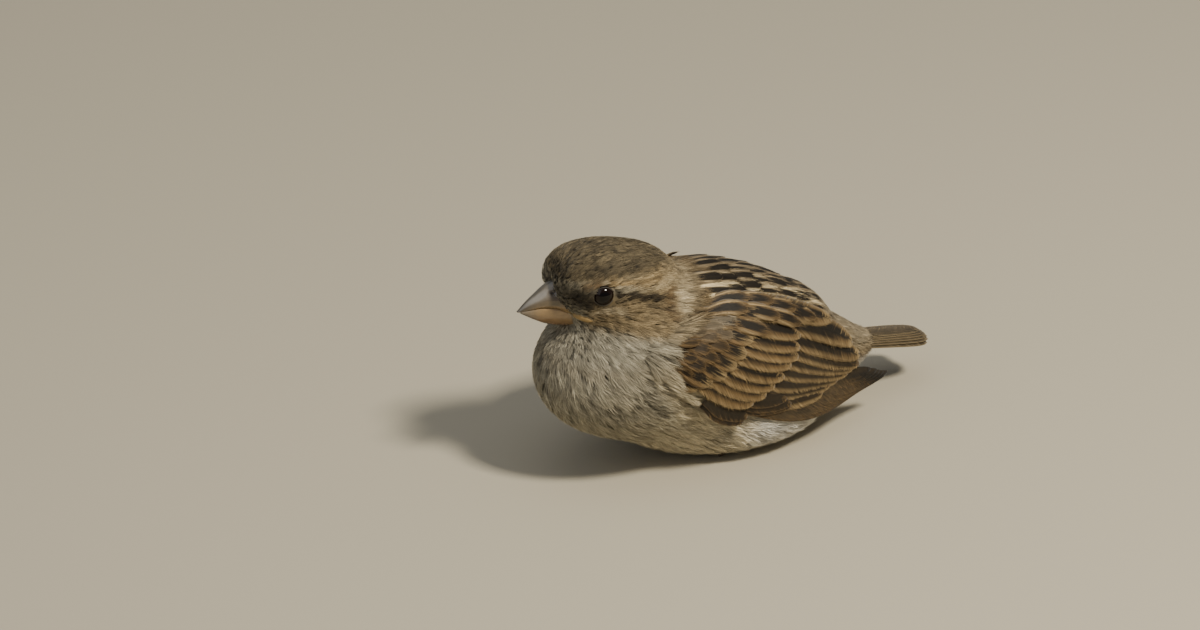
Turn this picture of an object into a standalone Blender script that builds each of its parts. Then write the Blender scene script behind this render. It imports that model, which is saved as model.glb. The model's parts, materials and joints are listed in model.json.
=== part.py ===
"""A life-size house sparrow at rest, squatting on its belly with its feet tucked under.

The bird faces -Y, its left side is +X and the floor is z = 0. The head, neck and trunk are one
smooth body parted by thin cuts. The folded wings lie on that body in three layers, as the feather
groups of a real wing do. Sizes are in millimetres and are turned into metres as a mesh is made.
"""
import math

import bmesh
import bpy
import numpy as np

MM = 0.001
GAP = 0.32  # between touching pieces
ORIGIN_Y = 12.74  # the middle of the bird's length, where the finished model's own origin lies

# Body: named masses as (centre, half-sizes), with the bird's own left-right, fore-aft and up-down.
TRUNK_MASSES = (
    ((0, -9.8, 23.6), (18.5, 24.5, 16.6)),  # breast
    ((0, 5.8, 19.7), (18.7, 26.5, 20.1)),  # back and belly
    ((0, 14.0, 8.0), (18.8, 22.0, 8.7)),  # fluffed flanks and vent
    ((0, 25.5, 19.3), (13.5, 12.5, 11.7)),  # rump
    ((0, 34.5, 13.6), (10.6, 11.0, 7.6)),  # lower rump
    ((0, 41.0, 12.2), (6.4, 9.5, 3.8)),  # tail coverts
)
NECK_MASSES = (
    ((0, -11.2, 32.0), (11.6, 11.6, 12.5)),
    ((0, -1.7, 34.8), (12.2, 16.2, 7.2)),
)
HEAD_AT = np.array((-0.3, -17.1, 41.6))
HEAD_YAW = -12.0  # degrees, turned a little to the bird's right
# Head: masses in the head's own axes, (forward, left, up).
HEAD_MASSES = (
    ((-1.4, 0, 0.9), (12.5, 9.6, 8.7)),  # crown and back of the head
    ((3.4, 0, 3.1), (8.4, 7.6, 7.0)),  # top of the head
    ((7.3, 3.4, 3.8), (6.4, 4.8, 5.3)),  # left side of the forehead
    ((7.3, -3.4, 3.8), (6.4, 4.8, 5.3)),  # right side of the forehead
    ((-1.4, 3.4, -3.5), (7.0, 5.4, 6.2)),  # left cheek
    ((-1.4, -3.4, -3.5), (7.0, 5.4, 6.2)),  # right cheek
    ((4.6, 0, -3.0), (5.0, 5.0, 5.2)),  # lores and chin
)
BLEND = 1.5  # how softly the masses run together
BODY_RINGS, BODY_SIDES = 34, 36

EYE_AT = (5.3, 7.5, 2.6)  # forward, left, up from the head's middle
EYE_RADIUS = 2.6

# Bill outlines in the head's axes: (forward, up) from base to tip.
CULMEN = ((8.5, 6.3), (11.5, 5.9), (14.8, 4.1), (18.4, 1.5), (21.6, -1.75))
TOMIUM = ((8.5, -3.7), (10.5, -2.9), (12.8, -1.75), (17.0, -1.55), (21.3, -2.0))
GONYS = ((8.5, -7.2), (10.5, -6.6), (13.0, -5.9), (17.0, -4.0), (20.7, -2.5))
BILL_HALF_WIDTH = ((8.5, 4.7), (12.0, 4.0), (15.5, 2.75), (19.0, 1.35), (21.6, 0.3))

# Tail: twelve quills folded into a narrow fan.
TAIL_ROOT, TAIL_TIP = (0.0, 33.0, 15.2), (0.0, 63.7, 9.7)
TAIL_ROOT_HALF_WIDTH, TAIL_TIP_HALF_WIDTH = 3.8, 5.6
TAIL_THICKNESS, TAIL_EDGE = 1.9, 0.9
TAIL_NOTCH, TAIL_ARCH, TAIL_CORNER = 0.9, 1.1, 3.6
TAIL_QUILLS_A_SIDE = 6

# Folded left wing: its upper and lower edges from the shoulder to the tip.
WING_UPPER = (
    (11.0, -10.5, 36.0),
    (9.0, 4.0, 37.0),
    (9.5, 18.0, 33.0),
    (9.0, 31.0, 25.5),
    (8.6, 40.0, 17.5),
    (10.8, 47.0, 12.6),
)
WING_LOWER = (
    (16.5, -19.5, 30.0),
    (19.5, -13.0, 21.5),
    (19.2, -1.5, 12.8),
    (18.4, 14.0, 9.4),
    (15.8, 30.0, 7.8),
    (13.2, 46.6, 8.6),
)
WING_BULGE = 2.0
# Each layer: level over the body at its upper and lower edge, thickness, and reach along and across.
PRIMARIES = {"level": (0.0, 0.0), "thick": 0.62, "along": (0.34, 1.0), "across": (0.42, 1.0)}
SECONDARIES = {"level": (0.25, 1.2), "thick": 0.62, "along": (0.20, 0.88), "across": (0.0, 0.86)}
COVERTS = {"level": (1.2, 2.2), "thick": 0.70, "along": (0.0, 0.55), "across": (0.03, 0.98)}
SECONDARY_SWING = 0.12  # share of the wing by which the lower quills end sooner

# Legs: folded shanks and toes in hollows beneath the belly, on small flats.
TOE_JOINT = (7.2, 17.5)
HEEL = (8.2, 32.5, 8.6)
SHANK_RADIUS, TOE_RADIUS, TOE_SINK = 1.05, 0.85, 0.22
TOES = (("inner", 9.6, -15.0), ("middle", 12.2, -2.0), ("outer", 10.2, 12.0), ("hind", 7.4, 176.0))
CLAW_LENGTH = 4.2
HOLLOW_AT, HOLLOW = (7.2, 15.0, 0.0), (5.2, 18.5, 3.6)

COLOURS = {
    "crown": (0.115, 0.085, 0.050),
    "neck": (0.23, 0.19, 0.13),
    "breast": (0.31, 0.26, 0.19),
    "bill_dark": (0.10, 0.09, 0.08),
    "bill_pale": (0.33, 0.22, 0.12),
    "eye": (0.010, 0.007, 0.005),
    "wing_brown": (0.125, 0.075, 0.036),
    "wing_buff": (0.25, 0.16, 0.08),
    "wing_dark": (0.045, 0.032, 0.022),
    "tail": (0.115, 0.085, 0.055),
    "leg": (0.30, 0.17, 0.11),
    "claw": (0.07, 0.05, 0.04),
}


# ---- the body as one smooth field ------------------------------------------------------------

yaw = math.radians(HEAD_YAW)
HEAD_AXES = np.array(((math.sin(yaw), -math.cos(yaw), 0), (math.cos(yaw), math.sin(yaw), 0), (0, 0, 1)))


def from_head(point):
    """A place given as (forward, left, up) in the head's axes, in the bird's axes."""
    return HEAD_AT + np.asarray(point, float) @ HEAD_AXES


def mass_distance(points, centre, half_sizes, axes=np.eye(3)):
    """Nearly the distance from each point to an ellipsoid's surface, negative inside it."""
    local = (points - np.asarray(centre, float)) @ axes.T
    half_sizes = np.asarray(half_sizes, float)
    near = np.linalg.norm(local / half_sizes, axis=-1)
    slope = np.linalg.norm(local / half_sizes**2, axis=-1)
    return near * (near - 1) / np.maximum(slope, 1e-6)


def body_distance(points):
    """The masses' distances run together by a soft minimum."""
    masses = [mass_distance(points, *mass) for mass in TRUNK_MASSES + NECK_MASSES]
    masses += [mass_distance(points, from_head(at), size, HEAD_AXES) for at, size in HEAD_MASSES]
    return -BLEND * np.log(sum(np.exp(-d / BLEND) for d in masses))


def reach(origins, directions, level=0.0, start=75.0):
    """How far from each origin the body's surface lies along its direction, found from outside inwards."""
    far = np.full(directions.shape[:-1], start)
    for _ in range(90):
        gap = body_distance(origins + directions * far[..., None]) - level
        far = np.maximum(far - 0.6 * gap, 0.0)
    return far


BODY_FRONT, BODY_REAR = np.array((0, -12.0, 29.5)), np.array((0, 31.0, 16.0))
FRONT_SHARE, REAR_SHARE = 0.50, 0.22  # of the rings, fanning round each end of the body's axis


def body_grid(rings, sides):
    """Rays from an axis through the body: they fan round its front end, stand square to it along
    its length and fan round its rear end. Returns their origins and directions."""
    along = (BODY_REAR - BODY_FRONT) / np.linalg.norm(BODY_REAR - BODY_FRONT)
    up = np.array((0, -along[2], along[1]))
    left = np.array((1.0, 0, 0))
    t = (np.arange(rings) + 0.5) / rings
    tilt = np.interp(t, (0, FRONT_SHARE, 1 - REAR_SHARE, 1), (0, 90, 90, 180)) * math.pi / 180
    share = np.interp(t, (FRONT_SHARE, 1 - REAR_SHARE), (0, 1))
    around = np.arange(sides) * 2 * math.pi / sides
    origin = BODY_FRONT + share[:, None, None] * (BODY_REAR - BODY_FRONT) + np.zeros((rings, sides, 3))
    radial = np.cos(around)[:, None] * up + np.sin(around)[:, None] * left
    direction = np.sin(tilt)[:, None, None] * radial - np.cos(tilt)[:, None, None] * along
    return origin, direction


# ---- meshes ------------------------------------------------------------------------------------


def material(name, colour, roughness=0.8):
    made = bpy.data.materials.get(name) or bpy.data.materials.new(name)
    made.use_nodes = True
    shader = made.node_tree.nodes["Principled BSDF"]
    shader.inputs["Base Color"].default_value = (*colour, 1)
    shader.inputs["Roughness"].default_value = roughness
    return made


def new_object(name, points, faces, colour, roughness=0.8, smooth=True):
    mesh = bpy.data.meshes.new(name)
    placed = (np.asarray(points) - (0, ORIGIN_Y, 0)) * MM
    mesh.from_pydata(placed.tolist(), [], faces)
    work = bmesh.new()
    work.from_mesh(mesh)
    bmesh.ops.recalc_face_normals(work, faces=work.faces)
    work.to_mesh(mesh)
    work.free()
    if smooth:
        mesh.shade_smooth()
    mesh.materials.append(material(colour, COLOURS[colour], roughness))
    obj = bpy.data.objects.new(name, mesh)
    bpy.context.scene.collection.objects.link(obj)
    return obj


def ring_faces(rings, sides):
    """Faces of a closed tube of rings whose two ends are each shut by one point added at the end."""
    faces = []
    for i in range(rings - 1):
        for j in range(sides):
            k = (j + 1) % sides
            faces.append((i * sides + j, i * sides + k, (i + 1) * sides + k, (i + 1) * sides + j))
    first, last = rings * sides, rings * sides + 1
    for j in range(sides):
        k = (j + 1) % sides
        faces.append((first, k, j))
        faces.append((last, (rings - 1) * sides + j, (rings - 1) * sides + k))
    return faces


def tube(name, rings, colour, **finish):
    """A closed solid from an array of rings of points, (rings, sides, 3)."""
    rings = np.asarray(rings, float)
    points = np.concatenate((rings.reshape(-1, 3), rings[:1].mean(1), rings[-1:].mean(1)))
    return new_object(name, points, ring_faces(*rings.shape[:2]), colour, **finish)


def slab(name, outer, inner, colour):
    """A closed solid between two grids of points of the same shape."""
    rows, columns = outer.shape[:2]
    points = np.concatenate((outer.reshape(-1, 3), inner.reshape(-1, 3)))
    half = rows * columns
    faces = []
    for i in range(rows - 1):
        for j in range(columns - 1):
            quad = [i * columns + j, i * columns + j + 1, (i + 1) * columns + j + 1, (i + 1) * columns + j]
            faces += [quad, [half + k for k in reversed(quad)]]
    rim = [j for j in range(columns)]
    rim += [i * columns + columns - 1 for i in range(1, rows)]
    rim += [(rows - 1) * columns + j for j in reversed(range(columns - 1))]
    rim += [i * columns for i in reversed(range(1, rows - 1))]
    for a, b in zip(rim, rim[1:] + rim[:1]):
        faces.append([b, a, half + a, half + b])
    return new_object(name, points, faces, colour)


def helper(obj):
    """Marks a cutter, which is no part of the bird."""
    obj.hide_render = True
    obj.display_type = "WIRE"
    return obj


def cut(obj, other, operation="DIFFERENCE"):
    step = obj.modifiers.new(f"{operation.lower()}_{other.name}", "BOOLEAN")
    step.operation, step.object, step.solver = operation, other, "EXACT"


def curve(points, at):
    """A smooth line through (position, value) pairs, read at many positions (monotone cubic)."""
    x, y = np.array(points, float).T
    step = np.diff(y) / np.diff(x)
    slope = np.concatenate(([step[0]], (step[1:] + step[:-1]) / 2 * (step[1:] * step[:-1] > 0), [step[-1]]))
    k = np.clip(np.searchsorted(x, at, side="right") - 1, 0, len(x) - 2)
    wide = x[k + 1] - x[k]
    t = np.clip((at - x[k]) / wide, 0, 1)
    rise = (1 - t) ** 2 * ((1 + 2 * t) * y[k] + t * wide * slope[k])
    return rise + t**2 * ((3 - 2 * t) * y[k + 1] - (1 - t) * wide * slope[k + 1])


def path(points, at):
    """A smooth line through evenly spaced 3-D points (Catmull-Rom), read at many places 0..1."""
    points = np.array(points, float)
    ends = np.concatenate((2 * points[:1] - points[1:2], points, 2 * points[-1:] - points[-2:-1]))
    place = np.asarray(at, float) * (len(points) - 1)
    k = np.clip(place.astype(int), 0, len(points) - 2)
    t = (place - k)[..., None]
    a, b, c, d = ends[k], ends[k + 1], ends[k + 2], ends[k + 3]
    return 0.5 * (2 * b + (c - a) * t + (2 * a - 5 * b + 4 * c - d) * t**2 + (3 * b - a - 3 * c + d) * t**3)


# ---- head, neck and trunk --------------------------------------------------------------------------

THROAT_CUT, NAPE_CUT = np.array((0, -31.0, 32.5)), np.array((0, -4.0, 46.0))
NECK_LENGTH = 6.5


def body_copy(name, colour):
    origin, direction = body_grid(BODY_RINGS, BODY_SIDES)
    return tube(name, origin + direction * reach(origin, direction)[..., None], colour)


def half_space(name, point, normal):
    """A large box whose one face passes through the point, square to the normal, on its far side."""
    normal = np.asarray(normal, float) / np.linalg.norm(normal)
    side = np.array((1.0, 0, 0))
    other = np.cross(normal, side)
    size = 150.0
    corners = [point + size * (a * side + b * other) for a, b in ((-1, -1), (1, -1), (1, 1), (-1, 1))]
    rings = np.array((corners, [c + size * 2 * normal for c in corners]))
    faces = [(0, 1, 5, 4), (1, 2, 6, 5), (2, 3, 7, 6), (3, 0, 4, 7), (3, 2, 1, 0), (4, 5, 6, 7)]
    return helper(new_object(name, rings.reshape(-1, 3), faces, "neck", smooth=False))


def make_body():
    chord = NAPE_CUT - THROAT_CUT
    down = np.array((0, chord[2], -chord[1])) / np.linalg.norm(chord)
    below_head = half_space("below_head", THROAT_CUT, down)
    below_neck = half_space("below_neck", THROAT_CUT + down * NECK_LENGTH, down)
    above_neck = half_space("above_neck", THROAT_CUT + down * GAP, -down)
    above_trunk = half_space("above_trunk", THROAT_CUT + down * (NECK_LENGTH + GAP), -down)
    floor = half_space("floor", np.zeros(3), (0, 0, -1))
    head = body_copy("head", "crown")
    neck = body_copy("neck", "neck")
    trunk = body_copy("trunk", "breast")
    cut(head, below_head)
    cut(neck, above_neck)
    cut(neck, below_neck)
    cut(trunk, above_trunk)
    cut(trunk, floor)
    return head, neck, trunk


# ---- eyes and bill ---------------------------------------------------------------------------------


def ball(name, centre, half_sizes, colour, sides=16, rings=8):
    angle = (np.arange(rings) + 0.5) / rings * math.pi
    around = np.arange(sides) * 2 * math.pi / sides
    ring = np.stack(
        (
            np.sin(angle)[:, None] * np.cos(around),
            np.sin(angle)[:, None] * np.sin(around),
            np.cos(angle)[:, None] * np.ones(sides),
        ),
        -1,
    )
    return tube(name, centre + np.asarray(half_sizes) * ring, colour, roughness=0.08)


def make_eyes(head):
    for side, sign in (("left", 1), ("right", -1)):
        at = from_head((EYE_AT[0], sign * EYE_AT[1], EYE_AT[2]))
        ball(f"eye_{side}", at, EYE_RADIUS, "eye")
        cut(head, helper(ball(f"socket_{side}", at, EYE_RADIUS + GAP, "eye")))


def mandible(name, upper, colour, grow=0.0, back=0.0, rings=10, sides=12):
    """Half a bill: rings from base to tip between the cutting edge and the ridge above or below it."""
    ridge = CULMEN if upper else GONYS
    tip = min(ridge[-1][0], TOMIUM[-1][0] + 0.3)
    forward = np.linspace(0, 1, rings) ** 0.85 * (tip - CULMEN[0][0]) + CULMEN[0][0]
    edge = curve(TOMIUM, forward) + (GAP / 2 if upper else -GAP / 2)
    far = curve(ridge, forward)
    far = np.maximum(far, edge + 0.25) if upper else np.minimum(far, edge - 0.25)
    wide = curve(BILL_HALF_WIDTH, forward) * (1.0 if upper else 0.9)
    angle = np.linspace(0, math.pi, sides)
    # A rounded roof over a flat cutting edge; the roof is narrower towards the ridge.
    across = np.cos(angle) * wide[:, None]
    height = edge[:, None] + np.sin(angle) ** 0.85 * (far - edge)[:, None]
    across = across * (1 - 0.28 * np.sin(angle) ** 3)
    middle = (edge + far)[:, None] / 2
    across, height = across * (1 + grow / wide[:, None]), middle + (height - middle) * (
        1 + 2 * grow / np.abs(far - edge)[:, None]
    )
    forward = forward.copy()
    forward[0] -= back
    rings_at = from_head(np.stack((forward[:, None] + 0 * across, across, height), -1))
    return tube(name, rings_at, colour, roughness=0.35)


def make_bill(head, neck):
    mandible("bill_upper", True, "bill_dark")
    mandible("bill_lower", False, "bill_pale")
    cut(head, helper(mandible("bill_upper_seat", True, "bill_dark", grow=GAP, back=GAP)))
    lower_seat = helper(mandible("bill_lower_seat", False, "bill_pale", grow=GAP, back=GAP))
    cut(head, lower_seat)
    cut(neck, lower_seat)


# ---- tail ------------------------------------------------------------------------------------------


def tail_grid(side, grow=0.0, rows=5, a_quill=2):
    """The tail's upper (side 1) or lower (-1) face: a flat fan, arched across, whose end is scalloped
    by the quills' round tips and notched in the middle."""
    root, tip = np.array(TAIL_ROOT), np.array(TAIL_TIP)
    along = (tip - root) / np.linalg.norm(tip - root)
    up = np.array((0, -along[2], along[1]))
    columns = 2 * TAIL_QUILLS_A_SIDE * a_quill + 1
    v = np.linspace(-1, 1, columns)
    u = np.linspace(0, 1, rows)[:, None]
    half = TAIL_ROOT_HALF_WIDTH + (TAIL_TIP_HALF_WIDTH - TAIL_ROOT_HALF_WIDTH) * u**0.8 + grow
    quill = np.abs(v) * TAIL_QUILLS_A_SIDE % 1.0
    scallop = 0.6 * (2 * quill - 1) ** 2 + TAIL_CORNER * np.clip((np.abs(v) - 0.3) / 0.7, 0, 1) ** 2
    length = np.linalg.norm(tip - root) - TAIL_NOTCH * np.exp(-((v / 0.25) ** 2)) - scallop
    thick = TAIL_EDGE + (TAIL_THICKNESS - TAIL_EDGE) * (1 - v**2) * (1 - 0.5 * u) + 2 * grow
    height = TAIL_ARCH * (1 - v**2) * (1 - 0.3 * u) + side * thick / 2
    return (
        root
        + along * ((length + grow) * u)[..., None]
        + np.array((1.0, 0, 0)) * (half * v)[..., None]
        + up * (height + 0 * u)[..., None]
    )


def make_tail(trunk):
    slab("tail", tail_grid(1), tail_grid(-1), "tail")
    seat = slab("tail_seat", tail_grid(1, GAP), tail_grid(-1, GAP), "tail")
    seat.location.y = -GAP * MM
    cut(trunk, helper(seat))


# ---- wings -----------------------------------------------------------------------------------------


def ease(x):
    """A smooth step from 0 to 1."""
    x = np.clip(x, 0, 1)
    return x * x * (3 - 2 * x)


def wing_surface(s, q, level, sign):
    """The folded wing's skin at share s of its length and q of its breadth, `level` above the body.
    A surface stretched between the two edges, bowed outwards, kept clear of the body and drawn
    down on to it everywhere but towards the tip."""
    upper, lower = path(WING_UPPER, s), path(WING_LOWER, s)
    point = upper + (lower - upper) * q[..., None]
    centre = np.stack((0 * s, point[..., 1], 20.0 - 0.22 * np.clip(point[..., 1], -20, 60)), -1)
    outward = point - centre
    distance = np.linalg.norm(outward, axis=-1)
    direction = outward / distance[..., None]
    bowed = distance + WING_BULGE * np.sin(math.pi * q) * (1 - 0.75 * s)
    body = reach(centre, direction, level=1.9 * GAP)
    soft = 0.8
    clear = soft * np.logaddexp(0, (bowed - body) / soft)
    out = body + clear * (0.12 + 0.88 * ease((s - 0.45) / 0.4)) + level
    made = centre + direction * out[..., None]
    made[..., 0] *= sign
    return made


def wing_layer(name, layer, sign, colour, rows=12, columns=8):
    """One feather group: a thin plate on the wing's surface with a rounded rear end."""
    (s0, s1), (q0, q1) = layer["along"], layer["across"]
    u, v = np.meshgrid(np.linspace(0, 1, rows), np.linspace(0, 1, columns), indexing="ij")
    q = q0 + (q1 - q0) * v
    start = s0 + 0 * v
    end = s1 - 0.05 * (2 * v - 1) ** 4
    if layer is PRIMARIES:
        q = 1 - (1 - q) * (1 - 0.45 * u)
        end = s1 - 0.16 * (1 - v) ** 1.5 - 0.10 * v**6
    elif layer is SECONDARIES:
        start = start + 0.06 * np.sin(math.pi * v)
        end = end - SECONDARY_SWING * v
    s = start + (end - start) * u
    level = layer["level"][0] + (layer["level"][1] - layer["level"][0]) * ease(q / 0.38)
    thick = layer["thick"] * (0.85 + 0.15 * np.sin(math.pi * v) * np.sin(math.pi * u))
    inner = wing_surface(s, q, level, sign)
    outer = wing_surface(s, q, level + thick, sign)
    return slab(name, outer, inner, colour)


def make_wings():
    for side, sign in (("left", 1), ("right", -1)):
        wing_layer(f"wing_{side}_primaries", PRIMARIES, sign, "wing_dark")
        wing_layer(f"wing_{side}_secondaries", SECONDARIES, sign, "wing_buff")
        wing_layer(f"wing_{side}_coverts", COVERTS, sign, "wing_brown")


# ---- legs ------------------------------------------------------------------------------------------


def limb(name, start, end, r0, r1, colour, sides=6, knots=0, grow=0.0):
    """A round tapered rod with domed ends, swollen at evenly spaced joints."""
    start, end = np.array(start, float), np.array(end, float)
    axis = (end - start) / np.linalg.norm(end - start)
    side = np.cross(axis, (0, 0, 1))
    side /= np.linalg.norm(side)
    up = np.cross(side, axis)
    t = np.concatenate(((0, 0.03), np.linspace(0.12, 0.88, 2 + 2 * knots), (0.97, 1)))
    dome = np.sqrt(np.clip(1 - np.clip((0.12 - np.minimum(t, 1 - t)) / 0.13, 0, 1) ** 2, 0.05, 1))
    swell = 1 + 0.14 * np.cos(2 * math.pi * knots * t) * (knots > 0)
    radius = (r0 + (r1 - r0) * t) * dome * swell + grow
    reach_out = np.linalg.norm(end - start) + 2 * grow
    around = np.arange(sides) * 2 * math.pi / sides
    ring = np.cos(around)[:, None] * side + np.sin(around)[:, None] * up
    centre = start - axis * grow + axis * (t * reach_out)[:, None]
    return tube(name, centre[:, None] + radius[:, None, None] * ring, colour)


def make_foot(side, sign, joint, floor):
    """Four toes joined at one knuckle, each with its claw, all flat underneath on the floor."""
    foot = ball(f"foot_{side}", joint + np.array((0, 0, 0.35)), 1.25, "leg", sides=12, rings=6)
    for toe, length, turn in TOES:
        angle = math.radians(turn) * sign
        way = np.array((math.sin(angle), -math.cos(angle), 0))
        end = joint + way * length
        rod = limb(f"toe_{side}_{toe}", joint, end, TOE_RADIUS, TOE_RADIUS * 0.78, "leg", knots=2)
        cut(foot, helper(rod), "UNION")
        tip = end + way * CLAW_LENGTH + np.array((0, 0, -0.18))
        claw = limb(f"claw_{side}_{toe}", end + way * GAP, tip, 0.55, 0.3, "claw", sides=6)
        cut(claw, floor)
    cut(foot, floor)


def make_legs(trunk, floor):
    for side, sign in (("left", 1), ("right", -1)):
        joint = np.array((sign * TOE_JOINT[0], TOE_JOINT[1], TOE_RADIUS - TOE_SINK))
        heel = np.array((sign * HEEL[0], HEEL[1], HEEL[2]))
        axis = (heel - joint) / np.linalg.norm(heel - joint)
        ankle = joint + axis * (1.5 + GAP) + np.array((0, 0, 0.75))
        radii = (SHANK_RADIUS, SHANK_RADIUS * 1.15)
        limb(f"leg_{side}", ankle, heel, *radii, "leg")
        pocket = limb(f"leg_{side}_pocket", ankle - axis * 1.5, heel, *radii, "leg", grow=GAP * 1.6)
        cut(trunk, helper(pocket))
        at = np.array((sign * HOLLOW_AT[0], HOLLOW_AT[1], HOLLOW_AT[2]))
        hollow = ball(f"hollow_{side}", at, HOLLOW, "breast", sides=20, rings=10)
        cut(trunk, helper(hollow))
        make_foot(side, sign, joint, floor)


def main():
    for obj in list(bpy.data.objects):
        bpy.data.objects.remove(obj, do_unlink=True)
    head, neck, trunk = make_body()
    make_eyes(head)
    make_bill(head, neck)
    make_tail(trunk)
    make_wings()
    make_legs(trunk, bpy.data.objects["floor"])


main()
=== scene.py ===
"""A house sparrow squatting at rest: skin, soft plumage, folded wings, tail, bill, eyes and feet."""
import json
import math

import bpy
import numpy as np
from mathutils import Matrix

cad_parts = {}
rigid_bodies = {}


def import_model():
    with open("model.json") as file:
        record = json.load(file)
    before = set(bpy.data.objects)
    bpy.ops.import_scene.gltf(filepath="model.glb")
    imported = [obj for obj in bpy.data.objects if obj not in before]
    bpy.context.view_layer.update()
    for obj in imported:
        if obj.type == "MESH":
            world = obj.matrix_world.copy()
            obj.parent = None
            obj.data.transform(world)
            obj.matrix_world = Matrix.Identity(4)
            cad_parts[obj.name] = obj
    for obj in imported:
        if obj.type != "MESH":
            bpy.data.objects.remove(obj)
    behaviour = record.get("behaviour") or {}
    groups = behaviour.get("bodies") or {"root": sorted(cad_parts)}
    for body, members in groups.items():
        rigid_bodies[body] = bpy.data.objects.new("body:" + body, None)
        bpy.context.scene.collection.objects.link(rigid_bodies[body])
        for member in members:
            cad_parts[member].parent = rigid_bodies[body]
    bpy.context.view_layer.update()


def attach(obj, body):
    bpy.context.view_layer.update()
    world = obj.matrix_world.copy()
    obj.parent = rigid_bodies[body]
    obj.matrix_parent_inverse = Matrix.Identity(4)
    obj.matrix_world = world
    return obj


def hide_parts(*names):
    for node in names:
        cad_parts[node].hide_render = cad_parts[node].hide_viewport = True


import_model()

# ---- body form and skin ----------------------------------------------------------------------------
# The bird's flesh under its feathers: head, drawn-in neck and plump trunk are one rounded form.
# Thin brown-pink skin covers it, hidden by the plumage and tinted as the feathers that grow from it, but
# darker, as painted shade where it shows between them.
# Sizes are in millimetres: the bird faces -Y, its left side is +X and the floor is z = 0.

MM = 0.001
MID_Y = 12.74  # the model's origin lies this far behind the point all places are counted from
BLEND = 1.5  # how softly the masses run together

BODY_MASSES = (
    ((0, -9.8, 23.6), (18.5, 24.5, 16.6)),  # breast
    ((0, 5.8, 19.7), (18.7, 26.5, 20.1)),  # back and belly
    ((0, 14.0, 8.0), (18.8, 22.0, 8.7)),  # fluffed flanks and vent
    ((0, 25.5, 19.3), (13.5, 12.5, 11.7)),  # rump
    ((0, 34.5, 13.6), (10.6, 11.0, 7.6)),  # lower rump
    ((0, 41.0, 12.2), (6.4, 9.5, 3.8)),  # tail coverts
    ((0, -11.2, 32.0), (11.6, 11.6, 12.5)),  # neck
    ((0, -1.7, 34.8), (12.2, 16.2, 7.2)),  # nape and shoulders
)
HEAD_AT = np.array((-0.3, -17.1, 41.6))
HEAD_TURN = math.radians(-12)
HEAD_AXES = np.array(
    (
        (math.sin(HEAD_TURN), -math.cos(HEAD_TURN), 0),  # forward
        (math.cos(HEAD_TURN), math.sin(HEAD_TURN), 0),  # left
        (0, 0, 1),  # up
    )
)
HEAD_MASSES = (
    ((-1.4, 0, 0.9), (12.5, 9.6, 8.7)),  # crown and back of the head
    ((3.4, 0, 3.1), (8.4, 7.6, 7.0)),  # top of the head
    ((7.3, 3.4, 3.8), (6.4, 4.8, 5.3)),  # left side of the forehead
    ((7.3, -3.4, 3.8), (6.4, 4.8, 5.3)),  # right side of the forehead
    ((-1.4, 3.4, -3.5), (7.0, 5.4, 6.2)),  # left cheek
    ((-1.4, -3.4, -3.5), (7.0, 5.4, 6.2)),  # right cheek
    ((4.6, 0, -3.0), (5.0, 5.0, 5.2)),  # lores and chin
)
EYE_AT, EYE_RADIUS = (5.3, 7.5, 2.6), 2.6
EYE_SIDE = 5  # farther out from the head's middle than this, a place is beside an eye
BODY_FRONT, BODY_REAR = np.array((0, -12.0, 29.5)), np.array((0, 31.0, 16.0))
FAR_OUT, REACH_STEPS = 75.0, 60  # where the search for the body's surface starts, and its steps inwards


def from_head(place):
    """A place given as (forward, left, up) from the head's middle, in the bird's axes."""
    return HEAD_AT + np.asarray(place, float) @ HEAD_AXES


def in_head(points):
    """The reverse: forward, left and up of each point from the head's middle."""
    return np.moveaxis((points - HEAD_AT) @ HEAD_AXES.T, -1, 0)


def ease(low, high, x):
    """A smooth step: 0 below low, 1 above high, a cubic between."""
    share = np.clip((x - low) / (high - low), 0, 1)
    return share * share * (3 - 2 * share)


def body_distance(points):
    """How far points lie outside the body: each mass's ellipsoid distance, joined by a soft minimum."""
    total = 0.0
    masses = [(np.array(at, float), size, None) for at, size in BODY_MASSES]
    masses += [(from_head(at), size, HEAD_AXES) for at, size in HEAD_MASSES]
    for centre, size, axes in masses:
        local = points - centre if axes is None else (points - centre) @ axes.T
        size = np.array(size, float)
        near = np.sqrt(((local / size) ** 2).sum(-1))
        slope = np.sqrt(((local / size**2) ** 2).sum(-1))
        total = total + np.exp(-near * (near - 1) / np.maximum(slope, 1e-6) / BLEND)
    return -BLEND * np.log(total)


def outward(points):
    """Unit normals of the body's form: the slope of its distance, by small steps along each axis."""
    step = 0.05 * np.eye(3)
    slope = [body_distance(points + step[k]) - body_distance(points - step[k]) for k in range(3)]
    slope = np.stack(slope, -1)
    return slope / np.maximum(np.linalg.norm(slope, axis=-1, keepdims=True), 1e-9)


def reach(origins, directions, level=0.0):
    """How far out along each direction the body's surface lies, found by stepping in from outside."""
    far = np.full(directions.shape[:-1], FAR_OUT)
    for _ in range(REACH_STEPS):
        far = np.maximum(far - 0.75 * (body_distance(origins + directions * far[..., None]) - level), 0.0)
    return far


def unit(vectors):
    return vectors / np.maximum(np.linalg.norm(vectors, axis=-1, keepdims=True), 1e-9)


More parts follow.
